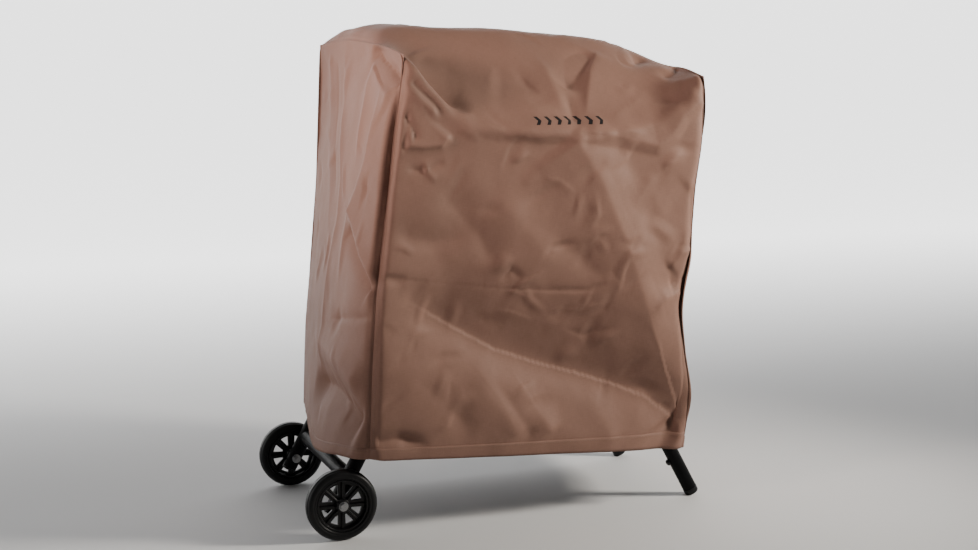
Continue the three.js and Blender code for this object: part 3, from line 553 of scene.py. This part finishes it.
TOP_FOLDS = [
    # the line pulled tight over the grill's front edge, up to the right corner
    ([(-0.129, F, 1.023), (-0.063, F, 1.004), (0.016, F, 0.998), (0.125, F, 0.996), (0.263, F, 0.985),
     (0.369, F, 0.962), (0.411, F, 0.994), (0.442, F, 1.037), (0.508, F, 1.085)], 0.01, 0.06, 0.03, 0,
     (0.1, 0.04)),
    # the ridge from the hump at the top left down to that line, and the hollow behind it
    ([(-0.312, -0.288, 1.19), (-0.29, -0.3, 1.16), (-0.256, -0.306, 1.118), (-0.219, -0.309, 1.086),
     (-0.167, F, 1.049), (-0.116, F, 1.025), (-0.063, F, 1.005)], 0.013, 0.016, 0.02, 1.3, (0.02, 0.25)),
    ([(-0.285, -0.25, 1.185), (-0.245, -0.255, 1.146), (-0.205, -0.265, 1.108), (-0.165, -0.28, 1.076),
     (-0.125, -0.292, 1.05)], -0.024, 0.034, 0.018, 1.5, (0.06, 0.35)),
    # a second, smaller ridge from the seam's top, and the puckered patch it ends in
    ([(-0.316, F, 1.14), (-0.302, F, 1.114), (-0.277, F, 1.091), (-0.239, F, 1.055), (-0.222, F, 1.022)],
     0.009, 0.009, 0.012, 1.2, (0.06, 0.25)),
    ([(-0.29, F, 1.128), (-0.262, F, 1.098), (-0.228, F, 1.068), (-0.207, F, 1.038)], -0.009, 0.008, 0.009,
     1.3, (0.1, 0.3)),
    ([(-0.312, F, 1.055), (-0.3, F, 1.035), (-0.282, F, 1.0), (-0.285, F, 0.975)], -0.007, 0.01, 0.008, 1.3,
     (0.2, 0.2)),
    ([(-0.31, F, 0.972), (-0.262, F, 0.966), (-0.215, F, 0.97), (-0.19, F, 1.0)], 0.012, 0.055, 0.01, 1.1,
     (0.1, 0.15)),
    ([(-0.318, F, 0.93), (-0.322, F, 1.0), (-0.318, F, 1.08)], 0.006, 0.01, 0.014, 1.3, (0.2, 0.2)),
    # the facets over the right end of the barrel
    ([(0.262, -0.12, 1.215), (0.195, -0.2, 1.15), (0.15, -0.235, 1.105)], -0.016, 0.02, 0.03, 1.4,
     (0.2, 0.15)),
    ([(0.15, -0.245, 1.1), (0.148, -0.28, 1.04), (0.146, -0.3, 1.0)], -0.007, 0.014, 0.014, 1.4, (0.1, 0.3)),
    ([(0.29, -0.12, 1.215), (0.232, -0.19, 1.155), (0.176, -0.29, 1.02)], 0.009, 0.03, 0.014, 1.3,
     (0.15, 0.3)),
    ([(0.11, -0.15, 1.19), (0.118, -0.22, 1.12), (0.13, -0.285, 1.035)], 0.007, 0.02, 0.02, 1.5, (0.3, 0.3)),
    ([(0.24, -0.3, 1.04), (0.3, -0.285, 1.08), (0.345, -0.265, 1.1)], 0.009, 0.012, 0.018, 1.3, (0.3, 0.15)),
    ([(0.33, -0.15, 1.18), (0.385, -0.14, 1.175), (0.44, -0.11, 1.185)], -0.011, 0.02, 0.026, 1.5,
     (0.3, 0.3)),
    ([(0.42, -0.23, 1.13), (0.47, -0.21, 1.15), (0.505, -0.17, 1.16)], -0.01, 0.022, 0.022, 1.5, (0.3, 0.2)),
    ([(0.505, -0.29, 1.13), (0.455, -0.262, 1.12), (0.4, -0.262, 1.09)], 0.008, 0.022, 0.022, 1.4,
     (0.05, 0.4)),
    ([(0.35, -0.26, 1.105), (0.415, -0.285, 1.075), (0.47, -0.3, 1.06)], -0.006, 0.018, 0.018, 1.5,
     (0.3, 0.2)),
    ([(-0.05, -0.2, 1.14), (0.02, -0.215, 1.125), (0.08, -0.2, 1.14)], -0.006, 0.05, 0.05, 1.6, (0.3, 0.3)),
]
BACK_FOLDS = [
    # long facets that hang from the top, the hollow between them and the crease of the packing
    ([(-0.2, 0.3, 1.02), (-0.17, 0.305, 0.7), (-0.24, 0.31, 0.3)], 0.011, 0.1, 0.05, 0, (0.1, 0.1)),
    ([(0.12, 0.3, 1.04), (0.05, 0.305, 0.72), (0.09, 0.31, 0.28)], 0.013, 0.06, 0.12, 0, (0.1, 0.1)),
    ([(0.33, 0.3, 1.0), (0.36, 0.305, 0.66), (0.3, 0.31, 0.26)], 0.01, 0.05, 0.08, 0, (0.15, 0.1)),
    ([(-0.36, 0.3, 0.98), (-0.1, 0.305, 0.86), (0.2, 0.305, 0.92), (0.4, 0.3, 1.0)], -0.01, 0.05, 0.09, 1.8,
     (0.2, 0.2)),
    ([(-0.36, 0.305, 0.62), (0.0, 0.306, 0.6), (0.42, 0.305, 0.61)], -0.004, 0.007, 0.012, 1.2,
     (0.05, 0.05)),
]
RIGHT_FOLDS = [
    ([(0.515, -0.05, 1.05), (0.5, 0.0, 0.75), (0.485, -0.06, 0.3)], 0.01, 0.08, 0.05, 0, (0.1, 0.1)),
    ([(0.515, 0.14, 1.02), (0.5, 0.1, 0.7), (0.49, 0.16, 0.3)], 0.009, 0.05, 0.09, 0, (0.1, 0.1)),
    ([(0.49, -0.26, 0.62), (0.485, -0.05, 0.66), (0.49, 0.24, 0.6)], -0.006, 0.03, 0.05, 1.8, (0.1, 0.2)),
]
LEFT_FOLDS = [
    # vertical creases on the back half
    ([(-0.34, 0.12, 1.2), (-0.35, 0.1, 1.18), (-0.365, 0.06, 1.02), (-0.385, 0.015, 0.88),
     (-0.4, 0.01, 0.755), (-0.41, 0.04, 0.655), (-0.43, 0.04, 0.475), (-0.45, 0.01, 0.295)], 0.007, 0.012,
     0.008, 1.1, (0.05, 0.3)),
    ([(-0.35, 0.215, 1.2), (-0.375, 0.17, 1.02), (-0.4, 0.1, 0.81), (-0.415, 0.085, 0.655)], 0.007, 0.01,
     0.012, 1.2, (0.05, 0.3)),
    ([(-0.355, 0.17, 1.19), (-0.375, 0.12, 1.0), (-0.395, 0.06, 0.8)], -0.008, 0.02, 0.014, 1.4, (0.1, 0.3)),
    ([(-0.365, 0.25, 1.19), (-0.395, 0.22, 0.95), (-0.41, 0.2, 0.7)], -0.006, 0.014, 0.014, 1.4, (0.1, 0.3)),
    # the dart that runs from a point on the side to the seam
    ([(-0.395, -0.1, 0.795), (-0.395, -0.195, 0.725), (-0.382, -0.29, 0.645)], 0.012, 0.03, 0.012, 1.1,
     (0.05, 0.02)),
    ([(-0.4, -0.11, 0.765), (-0.402, -0.18, 0.7), (-0.392, -0.285, 0.625)], -0.016, 0.014, 0.022, 1.2,
     (0.08, 0.02)),
    ([(-0.395, -0.098, 0.8), (-0.388, -0.15, 0.865), (-0.37, -0.19, 0.94), (-0.352, -0.205, 1.03),
     (-0.33, -0.21, 1.12)], 0.014, 0.012, 0.06, 1.1, (0.04, 0.3)),
    ([(-0.398, -0.092, 0.795), (-0.402, -0.08, 0.7), (-0.415, -0.07, 0.6)], 0.007, 0.012, 0.02, 1.3,
     (0.05, 0.5)),
    ([(-0.425, -0.035, 0.515), (-0.42, -0.205, 0.54), (-0.39, -0.29, 0.555)], -0.006, 0.012, 0.008, 1.2,
     (0.2, 0.05)),
    # slack above the hem
    ([(-0.452, 0.06, 0.345), (-0.452, -0.09, 0.352), (-0.43, -0.205, 0.33), (-0.405, -0.29, 0.29)], -0.028,
     0.03, 0.055, 1.4, (0.2, 0.08)),
    ([(-0.452, 0.1, 0.44), (-0.452, -0.06, 0.435), (-0.44, -0.17, 0.42), (-0.405, -0.28, 0.385)], 0.016,
     0.06, 0.05, 0, (0.2, 0.1)),
    # the tent under the top seam
    ([(-0.322, -0.09, 1.2), (-0.325, -0.15, 1.176), (-0.318, -0.225, 1.15), (-0.308, -0.294, 1.118)], -0.02,
     0.03, 0.012, 1.2, (0.1, 0.05)),
    ([(-0.33, -0.1, 1.175), (-0.335, -0.18, 1.13), (-0.325, -0.27, 1.08)], 0.012, 0.014, 0.06, 1.2,
     (0.2, 0.1)),
    ([(-0.35, -0.1, 1.18), (-0.352, -0.105, 1.05), (-0.375, -0.1, 0.9)], 0.007, 0.018, 0.012, 1.3,
     (0.1, 0.4)),
]
# Soft hollows: centre, reach and depth
FRONT_DENTS = [((0.02, F, 0.5), (0.2, 0.2, 0.1), -0.006), ((-0.2, F, 0.74), (0.14, 0.2, 0.06), -0.006)]
# Creases: seed, how many, the lowest and highest corner of their space, and the angle they run at
WRAP_CREASES = [
    (5, 70, (-0.36, -0.4, 0.24), (0.45, -0.2, 1.05), -0.6),
    (8, 26, (-0.28, -0.31, 1.0), (0.48, 0.25, 1.3), 0.2),
    (9, 30, (-0.36, 0.2, 0.24), (0.45, 0.4, 1.1), 1.2),
]
LEFT_CREASES = [(15, 26, (-0.6, -0.27, 0.24), (-0.2, 0.28, 1.15), 1.4)]
RIGHT_CREASES = [(16, 30, (0.3, -0.27, 0.24), (0.7, 0.28, 1.1), 1.3)]
CREASE_HEIGHT, CREASE_WIDTH, CREASE_LENGTH = (0.0017, 0.0042), (0.006, 0.028), (0.03, 0.085)
BARREL_AXIS_Z, BARREL_GAP, BARREL_EASE = 1.0, 0.006, 0.03


def clear_of_barrel(grid):
    """Keeps the cloth off the barrel's crown."""
    low, high = (np.array(corner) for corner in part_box("barrel_lid"))
    radius = high[2] - BARREL_AXIS_Z
    from_left = np.clip((grid[..., 0] - low[0] + BARREL_EASE) / BARREL_EASE, 0, 1)
    from_right = np.clip((high[0] + BARREL_EASE - grid[..., 0]) / BARREL_EASE, 0, 1)
    y, z = grid[..., 1], grid[..., 2] - BARREL_AXIS_Z
    reach = np.hypot(y, z)
    least = radius + BARREL_GAP
    push = np.where((z > 0) & (reach < least), least / np.maximum(reach, 1e-6), 1.0)
    push = 1 + (push - 1) * (from_left * from_right)
    return np.stack([grid[..., 0], y * push, BARREL_AXIS_Z + z * push], -1)


def rippled(grid, normals, seed, amount):
    """Small uneven waves over the whole panel, smoothed to a scale of a few centimetres."""
    rng = np.random.default_rng(seed)
    for size, share in ((0.05, 1.0), (0.025, 0.45), (0.014, 0.2)):
        field = rng.standard_normal(grid.shape[:2])
        k = max(1, int(size / CELL))
        t = np.arange(-3 * k, 3 * k + 1)
        kernel = np.exp(-0.5 * (t / k) ** 2)
        kernel /= kernel.sum()
        pad = np.pad(field, 3 * k, mode="reflect")
        pad = np.apply_along_axis(np.convolve, 0, pad, kernel, "valid")
        field = np.apply_along_axis(np.convolve, 1, pad, kernel, "valid")
        grid = grid + normals * (field / field.std() * amount * share)[..., None]
    return grid


def arc_uv(grid):
    """Distances along the cloth in metres: across from its first column, and up from its first row."""
    across, up = np.zeros(grid.shape[:2]), np.zeros(grid.shape[:2])
    across[:, 1:] = np.cumsum(np.linalg.norm(np.diff(grid, axis=1), axis=2), axis=1)
    up[1:] = np.cumsum(np.linalg.norm(np.diff(grid, axis=0), axis=2), axis=0)
    return np.stack([across, up], -1)


def cloth_object(name, grid, uv, material):
    rows, columns = grid.shape[:2]
    faces = grid_faces(rows, columns)
    mesh = mesh_from(name, grid.reshape(-1, 3), faces)
    layer = mesh.uv_layers.new(name="UVMap")
    loops = np.zeros(len(mesh.loops), dtype=np.int32)
    mesh.loops.foreach_get("vertex_index", loops)
    layer.data.foreach_set("uv", uv.reshape(-1, 2)[loops].astype(np.float32).ravel())
    obj = link(name, mesh, material)
    solid = obj.modifiers.new("thickness", "SOLIDIFY")
    solid.thickness, solid.offset = CLOTH_THICKNESS, -1
    return apply_modifiers(obj)


def crumpled(grid, normals, seed, count, low, high, run):
    """Short creases scattered over part of a panel, as cloth keeps them from its packing."""
    rng = np.random.default_rng(seed)
    flat, out = grid.reshape(-1, 3), normals.reshape(-1, 3)
    inside = np.where(np.all((flat > low) & (flat < high), axis=1))[0]
    for _ in range(count):
        k = inside[rng.integers(len(inside))]
        side = unit(np.cross(out[k], np.array([0.0, 0.0, 1.0])))
        up = np.cross(side, out[k])
        angle = rng.normal(run, 0.55)
        way = side * math.cos(angle) + up * math.sin(angle)
        bend = (side * -math.sin(angle) + up * math.cos(angle)) * rng.normal(0, 0.012)
        length = rng.uniform(*CREASE_LENGTH)
        path = [flat[k] - way * length, flat[k] + bend, flat[k] + way * length * rng.uniform(0.6, 1.0)]
        height = rng.uniform(*CREASE_HEIGHT) * rng.choice([-1, 1])
        widths = rng.uniform(*CREASE_WIDTH), rng.uniform(*CREASE_WIDTH)
        grid = fold(grid, normals, path, height, *widths, 0, (0.45, 0.45))
    return grid


def dressed(base, outward, folds, dents, ripple, creases):
    """A panel with its folds, hollows, ripples and creases on it."""
    grid = base
    for row in folds:
        grid = fold(grid, outward, *row)
    for row in dents:
        grid = dent(grid, outward, *row)
    grid = rippled(grid, outward, *ripple)
    for row in creases:
        grid = crumpled(grid, outward, *row)
    return grid


def held(base, grid, width, edges):
    """The dressed panel, except along the named edges, which stay where the seams hold them."""
    rows, columns = grid.shape[:2]
    i, j = np.meshgrid(np.arange(rows), np.arange(columns), indexing="ij")
    inward = {"high": rows - 1 - i, "left": j, "right": columns - 1 - j}
    reach = np.min([inward[edge] for edge in edges], axis=0)
    share = np.clip(reach / max(1, width / CELL), 0, 1)[..., None]
    return base * (1 - share) + grid * share


def end_panel(side, folds, ripple, creases, seam_width):
    """The dressed left (-1) or right (1) end panel, its outward normals and its flat coordinates."""
    base = side_grid(side)
    outward = normals_of(base, lambda g: np.broadcast_to(np.array([float(side), 0, 0]), g.shape))
    grid = dressed(base, outward, folds, [], ripple, creases)
    return held(base, grid, seam_width, ("left", "right", "high")), outward, arc_uv(base)


front_folds = [([(x, FRONT_Y, z) for x, z in path], *shape) for path, *shape in FRONT_FOLDS]
wrap_base = wrap_grid()
wrap_out = normals_of(wrap_base, lambda g: g - np.array([g[..., 0].mean(), 0.0, 0.6]))
wrap_uv = arc_uv(wrap_base)
wrap_folds = front_folds + TOP_FOLDS + BACK_FOLDS
wrap = dressed(wrap_base, wrap_out, wrap_folds, FRONT_DENTS, (3, 0.0012), WRAP_CREASES)
wrap = held(wrap_base, clear_of_barrel(wrap), 0.012, ("left", "right"))
left, left_out, left_uv = end_panel(-1, LEFT_FOLDS, (7, 0.0012), LEFT_CREASES, 0.012)
right, right_out, right_uv = end_panel(1, RIGHT_FOLDS, (11, 0.002), RIGHT_CREASES, 0.02)

cover_wrap = cloth_object("cover_wrap", wrap, wrap_uv, M["fabric_printed"])
piece(cover_wrap, "cover", "cover_fabric", "cover_wrap_panel")
cover_left = cloth_object("cover_left", left, left_uv, M["fabric"])
piece(cover_left, "cover", "cover_fabric", "cover_side_left")
cover_right = cloth_object("cover_right", right, right_uv, M["fabric"])
piece(cover_right, "cover", "cover_fabric", "cover_side_right")


# ---- hem, stitches and piping ----
HEM_WIDTH, HEM_STITCH_HEIGHT, SEAM_STITCH_INSET, PIPING_RADIUS = 0.027, 0.0235, 0.007, 0.0019


def tube(points, radius, sides=10):
    """Points and faces of a round tube along a path, with both ends closed."""
    path = np.asarray(points, float)
    ways = unit(np.gradient(path, axis=0))
    up = np.array([0.0, 0.0, 1.0])
    rings = []
    side = unit(np.cross(ways[0], up if abs(ways[0][2]) < 0.9 else np.array([1.0, 0, 0])))
    for p, w in zip(path, ways):
        side = unit(side - w * (side @ w))
        other = np.cross(w, side)
        angles = turns(sides)[:, None]
        rings.append(p + radius * (np.cos(angles) * side + np.sin(angles) * other))
    faces = grid_faces(len(path), sides, wrap=True).tolist()
    faces += [tuple(range(sides))[::-1], tuple(range((len(path) - 1) * sides, len(path) * sides))]
    return np.concatenate(rings), faces


def joined(parts):
    """One list of points and faces from several."""
    points, faces, start = [], [], 0
    for p, f in parts:
        points.append(np.asarray(p, float))
        faces += [tuple(int(i) + start for i in face) for face in f]
        start += len(p)
    return np.concatenate(points), faces


def stitches(path, outward, length=0.0032, pitch=0.005, radius=0.00055):
    """A row of short raised threads along a path."""
    path = np.asarray(path, float)
    steps = np.concatenate([[0], np.cumsum(np.linalg.norm(np.diff(path, axis=0), axis=1))])
    places = np.arange(pitch, steps[-1] - pitch, pitch)
    centre = np.stack([np.interp(places, steps, path[:, k]) for k in range(3)], 1)
    out = unit(np.stack([np.interp(places, steps, outward[:, k]) for k in range(3)], 1))
    ahead = np.stack([np.interp(places + 0.001, steps, path[:, k]) for k in range(3)], 1)
    way = unit(ahead - centre)
    side = np.cross(out, way)
    centre = centre + out * radius * 0.6
    shape = [centre - way * length / 2, centre + way * length / 2, centre + out * radius,
             centre + side * radius, centre - out * radius, centre - side * radius]
    points = np.stack(shape, 1).reshape(-1, 3)
    one = [(0, 3, 2), (0, 4, 3), (0, 5, 4), (0, 2, 5), (1, 2, 3), (1, 3, 4), (1, 4, 5), (1, 5, 2)]
    return points, [tuple(6 * k + i for i in face) for k in range(len(centre)) for face in one]


def hem_strip(grid, outward, from_end=False):
    """The folded band along one panel's hem: the panel's first rows, a little proud on both faces."""
    rows = max(3, int(round(HEM_WIDTH / CELL)) + 1)
    g, n = (grid[::-1], outward[::-1]) if from_end else (grid, outward)
    g, n = g[:rows].copy(), n[:rows]
    swell = 0.0015 + 0.0005 * np.sin(np.linspace(0, math.pi, rows))[:, None, None]
    outer, inner = g + n * swell, g - n * (swell + CLOTH_THICKNESS)
    outer[0, :, 2] -= 0.0015
    inner[0, :, 2] -= 0.0015
    ring = np.concatenate([outer, inner[::-1]])  # up the outside and down the inside
    rows, columns = ring.shape[:2]
    faces = grid_faces(rows, columns).tolist()
    index = np.arange(rows * columns).reshape(rows, columns)
    faces += [(index[-1, j], index[-1, j + 1], index[0, j + 1], index[0, j]) for j in range(columns - 1)]
    faces += [tuple(index[:, 0])[::-1], tuple(index[:, -1])]
    return ring.reshape(-1, 3), faces


def along_uv(mesh):
    """Gives a narrow piece a UV map in metres, so that the weave has the same scale on it."""
    layer = mesh.uv_layers.new(name="UVMap")
    for loop in mesh.loops:
        x, y, z = mesh.vertices[loop.vertex_index].co
        layer.data[loop.index].uv = (x + y, z)
    return mesh


hem_parts = [hem_strip(wrap, wrap_out), hem_strip(wrap, wrap_out, from_end=True), hem_strip(left, left_out),
             hem_strip(right, right_out)]
hem = link("hem", along_uv(mesh_from("hem", *joined(hem_parts))), M["fabric"])
piece(hem, "cover", "cover_fabric", "hem_band")

hem_row = max(2, int(round(HEM_STITCH_HEIGHT / CELL)))
stitch_parts = []
for grid, outward, row in ((wrap, wrap_out, hem_row), (wrap, wrap_out, -1 - hem_row),
                           (left, left_out, hem_row), (right, right_out, hem_row)):
    stitch_parts.append(stitches(grid[row] + outward[row] * 0.0016, outward[row]))
seam_column = max(1, int(round(SEAM_STITCH_INSET / CELL)))
for column in (seam_column, -1 - seam_column):
    inner = wrap_out[8:-8, column]
    stitch_parts.append(stitches(wrap[8:-8, column] + inner * 0.0003, inner))
hem_stitching = link("stitching", mesh_from("stitching", *joined(stitch_parts)), M["thread"])
piece(hem_stitching, "cover", "seam_binding")

for name, column in (("left", 0), ("right", -1)):
    seam = smooth_rows(wrap_base[:, column], 4, 0)
    mesh = along_uv(mesh_from(f"piping_{name}", *tube(seam, PIPING_RADIUS)))
    piping = link(f"piping_{name}", mesh, M["binding"])
    piece(piping, "cover", "seam_binding", f"seam_binding_{name}")


# ---- wheels ----
SPOKES = 8


def lathe(profile, centre, steps=96):
    """A closed ring turned about a line along Y; the profile is (radius, y) pairs, round its section."""
    rings = np.array([[(centre[0] + r * math.cos(a), centre[1] + y, centre[2] + r * math.sin(a))
                       for a in turns(steps)] for r, y in [*profile, profile[0]]])
    faces = grid_faces(len(profile) + 1, steps, wrap=True).tolist()
    last = len(profile) * steps
    return rings[:-1].reshape(-1, 3), [tuple(i - last if i >= last else i for i in f) for f in faces]


def mirrored(profile):
    """The section's other half, on the far side of the wheel's middle plane."""
    return [*profile, *[(r, -y) for r, y in reversed(profile)]]


def rounded_loop(corners, radius, steps=5):
    """A closed outline with its corners rounded off."""
    out = []
    for before, corner, after in zip(corners[-1:] + corners[:-1], corners, corners[1:] + corners[:1]):
        corner, a, b = Vector(corner), Vector(before), Vector(after)
        start = corner + (a - corner).normalized() * radius
        end = corner + (b - corner).normalized() * radius
        out += [start.lerp(corner, t).lerp(corner.lerp(end, t), t) for t in np.linspace(0, 1, steps)]
    return [(v.x, v.y) for v in out]


def disc(outline, holes, thickness, bevel):
    """A flat plate with holes, its edges rounded, as points and faces; it lies in the wheel's plane."""
    curve = bpy.data.curves.new("disc", "CURVE")
    curve.dimensions, curve.fill_mode = "2D", "BOTH"
    curve.extrude, curve.bevel_depth, curve.bevel_resolution = thickness / 2 - bevel, bevel, 2
    for loop in [outline, *holes]:
        spline = curve.splines.new("POLY")
        spline.points.add(len(loop) - 1)
        for point, (x, y) in zip(spline.points, loop):
            point.co = (x, y, 0, 1)
        spline.use_cyclic_u = True
    obj = bpy.data.objects.new("disc", curve)
    bpy.context.collection.objects.link(obj)
    mesh = bpy.data.meshes.new_from_object(obj.evaluated_get(bpy.context.evaluated_depsgraph_get()))
    bpy.data.objects.remove(obj)
    points = np.array([(v.co.x, -v.co.z, v.co.y) for v in mesh.vertices])
    return points, [tuple(polygon.vertices) for polygon in mesh.polygons]


def circle(radius, steps):
    return [(radius * math.cos(a), radius * math.sin(a)) for a in turns(steps)]


def turned(loop, angle):
    """A flat outline turned about the wheel's middle."""
    c, s = math.cos(angle), math.sin(angle)
    return [(x * c - y * s, x * s + y * c) for x, y in loop]


def rib(centre, angle, face):
    """The rib that stands up along the middle of a spoke, on one face of the wheel."""
    along = np.array([math.cos(angle), 0, math.sin(angle)])
    across = np.array([-math.sin(angle), 0, math.cos(angle)])
    up = np.array([0, face, 0.0])
    points = []
    for reach, height, width in ((0.015, 0.013, 0.0021), (0.03, 0.008, 0.0019), (0.0592, 0.0085, 0.0019)):
        foot = centre + along * reach
        points += [foot + across * width + up * 0.003, foot + across * width * 0.55 + up * height,
                   foot - across * width * 0.55 + up * height, foot - across * width + up * 0.003]
    sides = [(a + i, a + (i + 1) % 4, a + 4 + (i + 1) % 4, a + 4 + i) for a in (0, 4) for i in range(4)]
    return np.array(points), sides + [(3, 2, 1, 0), (8, 9, 10, 11)]


def wheel(end):
    """Tyre and moulded centre."""
    low, high = (np.array(corner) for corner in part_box(f"tyre_{end}"))
    centre, radius, half = (low + high) / 2, (high[2] - low[2]) / 2, (high[1] - low[1]) / 2
    shoulder = [(radius - 0.0012 - 0.0105 * (1 - math.cos(t)), half - 0.0105 * (1 - math.sin(t)))
                for t in np.linspace(0, math.pi / 2, 7)]
    tread = [(radius, 0.0022), (radius, 0.006), (radius - 0.0008, 0.0068), (radius - 0.0008, 0.0076),
             (radius, 0.0084)]
    wall = [(radius - 0.015, half), (radius - 0.0156, half - 0.0006), (radius - 0.0172, half - 0.0006),
            (radius - 0.0178, half), (radius - 0.0215, half - 0.0012), (radius - 0.0228, half - 0.0045)]
    tyre_mesh = mesh_from(f"tyre_{end}", *lathe(mirrored(tread + shoulder + wall), centre))
    piece(link(f"tyre_{end}_rubber", tyre_mesh, M["tyre"]), f"wheel_{end}", "tyre", f"tyre_{end}")

    rim_radius = radius - 0.0229
    rim = [(rim_radius, half - 0.005), (rim_radius - 0.0012, half - 0.0034),
           (rim_radius - 0.0048, half - 0.0034), (rim_radius - 0.006, half - 0.0048),
           (rim_radius - 0.0066, half - 0.01), (rim_radius - 0.0074, 0.0042)]
    boss = [(0.0058, 0.0196), (0.0068, 0.02), (0.015, 0.02), (0.0162, 0.0192), (0.0168, 0.0176),
            (0.0176, 0.004)]
    parts = [lathe(mirrored(rim), centre), lathe(mirrored(boss), centre, 64)]
    corners = [(0.0255, -0.0022), (0.0515, -0.0115), (0.0525, 0.0), (0.0515, 0.0115), (0.0255, 0.0022)]
    window = rounded_loop(corners, 0.0021)
    windows = [turned(window, 2 * math.pi * (k + 0.5) / SPOKES) for k in range(SPOKES)]
    points, faces = disc(circle(rim_radius - 0.0068, 96), [circle(0.0125, 48), *windows], 0.007, 0.001)
    parts.append((points + centre, faces))
    parts += [rib(centre, 2 * math.pi * k / SPOKES, face) for k in range(SPOKES) for face in (-1, 1)]
    hub = link(f"wheel_centre_{end}", mesh_from(f"hub_{end}", *joined(parts)), M["black_plastic"])
    bm = bmesh.new()
    bm.from_mesh(hub.data)
    bmesh.ops.recalc_face_normals(bm, faces=bm.faces)
    bm.to_mesh(hub.data)
    bm.free()
    hub.modifiers.new("normals", "WEIGHTED_NORMAL")
    piece(hub, f"wheel_{end}", "black_plastic", f"wheel_hub_{end}")


wheel("front")
wheel("back")


# ---- the CAD parts that stay: rounded edges and smooth tubes ----
REPLACED = ("cover_", "hem_", "seam_", "tyre_", "wheel_hub_")
EDGE_RADIUS, EDGE_ANGLE = 0.0007, math.radians(38)
for name, obj in NODES.items():
    if name.startswith(REPLACED):
        continue
    for polygon in obj.data.polygons:
        polygon.use_smooth = True
    rounding = obj.modifiers.new("rounding", "BEVEL")
    rounding.width, rounding.segments, rounding.limit_method = EDGE_RADIUS, 2, "ANGLE"
    rounding.angle_limit = EDGE_ANGLE
    obj.modifiers.new("flat_faces", "WEIGHTED_NORMAL")


# ---- stage and light ----
def area_light(name, position, target, size, power, colour, spread):
    data = bpy.data.lights.new(name, "AREA")
    data.shape, data.size, data.size_y = "RECTANGLE", size[0], size[1]
    data.energy, data.color, data.spread = power, colour, math.radians(spread)
    obj = bpy.data.objects.new(name, data)
    bpy.context.collection.objects.link(obj)
    obj.location = position
    obj.rotation_euler = (Vector(target) - Vector(position)).to_track_quat("-Z", "Y").to_euler()


WALL_Y, BEND, FLOOR_REACH, WALL_TOP = 8.0, 2.5, 60.0, 9.0
GLOW_FROM_Y, GLOW_TO_Y, WALL_GLOW = 0.3, 6.0, 2.2
AMBIENT = 0.13


def backdrop():
    """Floor that bends up into a wall far behind the grill, in one sheet."""
    bend = [(WALL_Y - BEND + BEND * math.sin(t), BEND * (1 - math.cos(t)))
            for t in np.linspace(0, math.pi / 2, 16)]
    profile = [(-FLOOR_REACH, 0.0), (-4.0, 0.0), (0.0, 0.0), (3.0, 0.0), *bend, (WALL_Y, WALL_TOP)]
    points = [(side * FLOOR_REACH, y, z) for y, z in profile for side in (-1, 1)]
    return mesh_from("backdrop", points, grid_faces(len(profile), 2))


def backdrop_material():
    """White paper that glows more and more towards the back, as a wall with its own lamps does."""
    material, tree, shader = new_material("studio_paper")
    shader.inputs["Base Color"].default_value = (0.66, 0.66, 0.66, 1)
    shader.inputs["Roughness"].default_value = 0.85
    place = node(tree, "ShaderNodeSeparateXYZ", {0: node(tree, "ShaderNodeTexCoord").outputs["Object"]})
    share = node(tree, "ShaderNodeMapRange", {0: place.outputs["Y"], 1: GLOW_FROM_Y, 2: GLOW_TO_Y, 3: 0.0,
                                            4: WALL_GLOW})
    share.interpolation_type = "SMOOTHSTEP"
    tree.links.new(share.outputs[0], shader.inputs["Emission Strength"])
    shader.inputs["Emission Color"].default_value = (1, 1, 1, 1)
    return material


link("backdrop", backdrop(), backdrop_material())
world = bpy.data.worlds.new("studio")
bpy.context.scene.world = world
world.use_nodes = True
world.node_tree.nodes["Background"].inputs["Color"].default_value = (1, 1, 1, 1)
world.node_tree.nodes["Background"].inputs["Strength"].default_value = AMBIENT
area_light("key_left", position=(-2.8, -1.0, 1.6), target=(-0.35, -0.15, 1.24), size=(0.6, 0.6), power=6.8,
           colour=(1.0, 0.8, 0.73), spread=40)
area_light("key_right", position=(2.6, -1.35, 1.7), target=(0.35, -0.3, 0.94), size=(0.5, 0.7), power=31,
           colour=(1.0, 0.94, 0.85), spread=75)
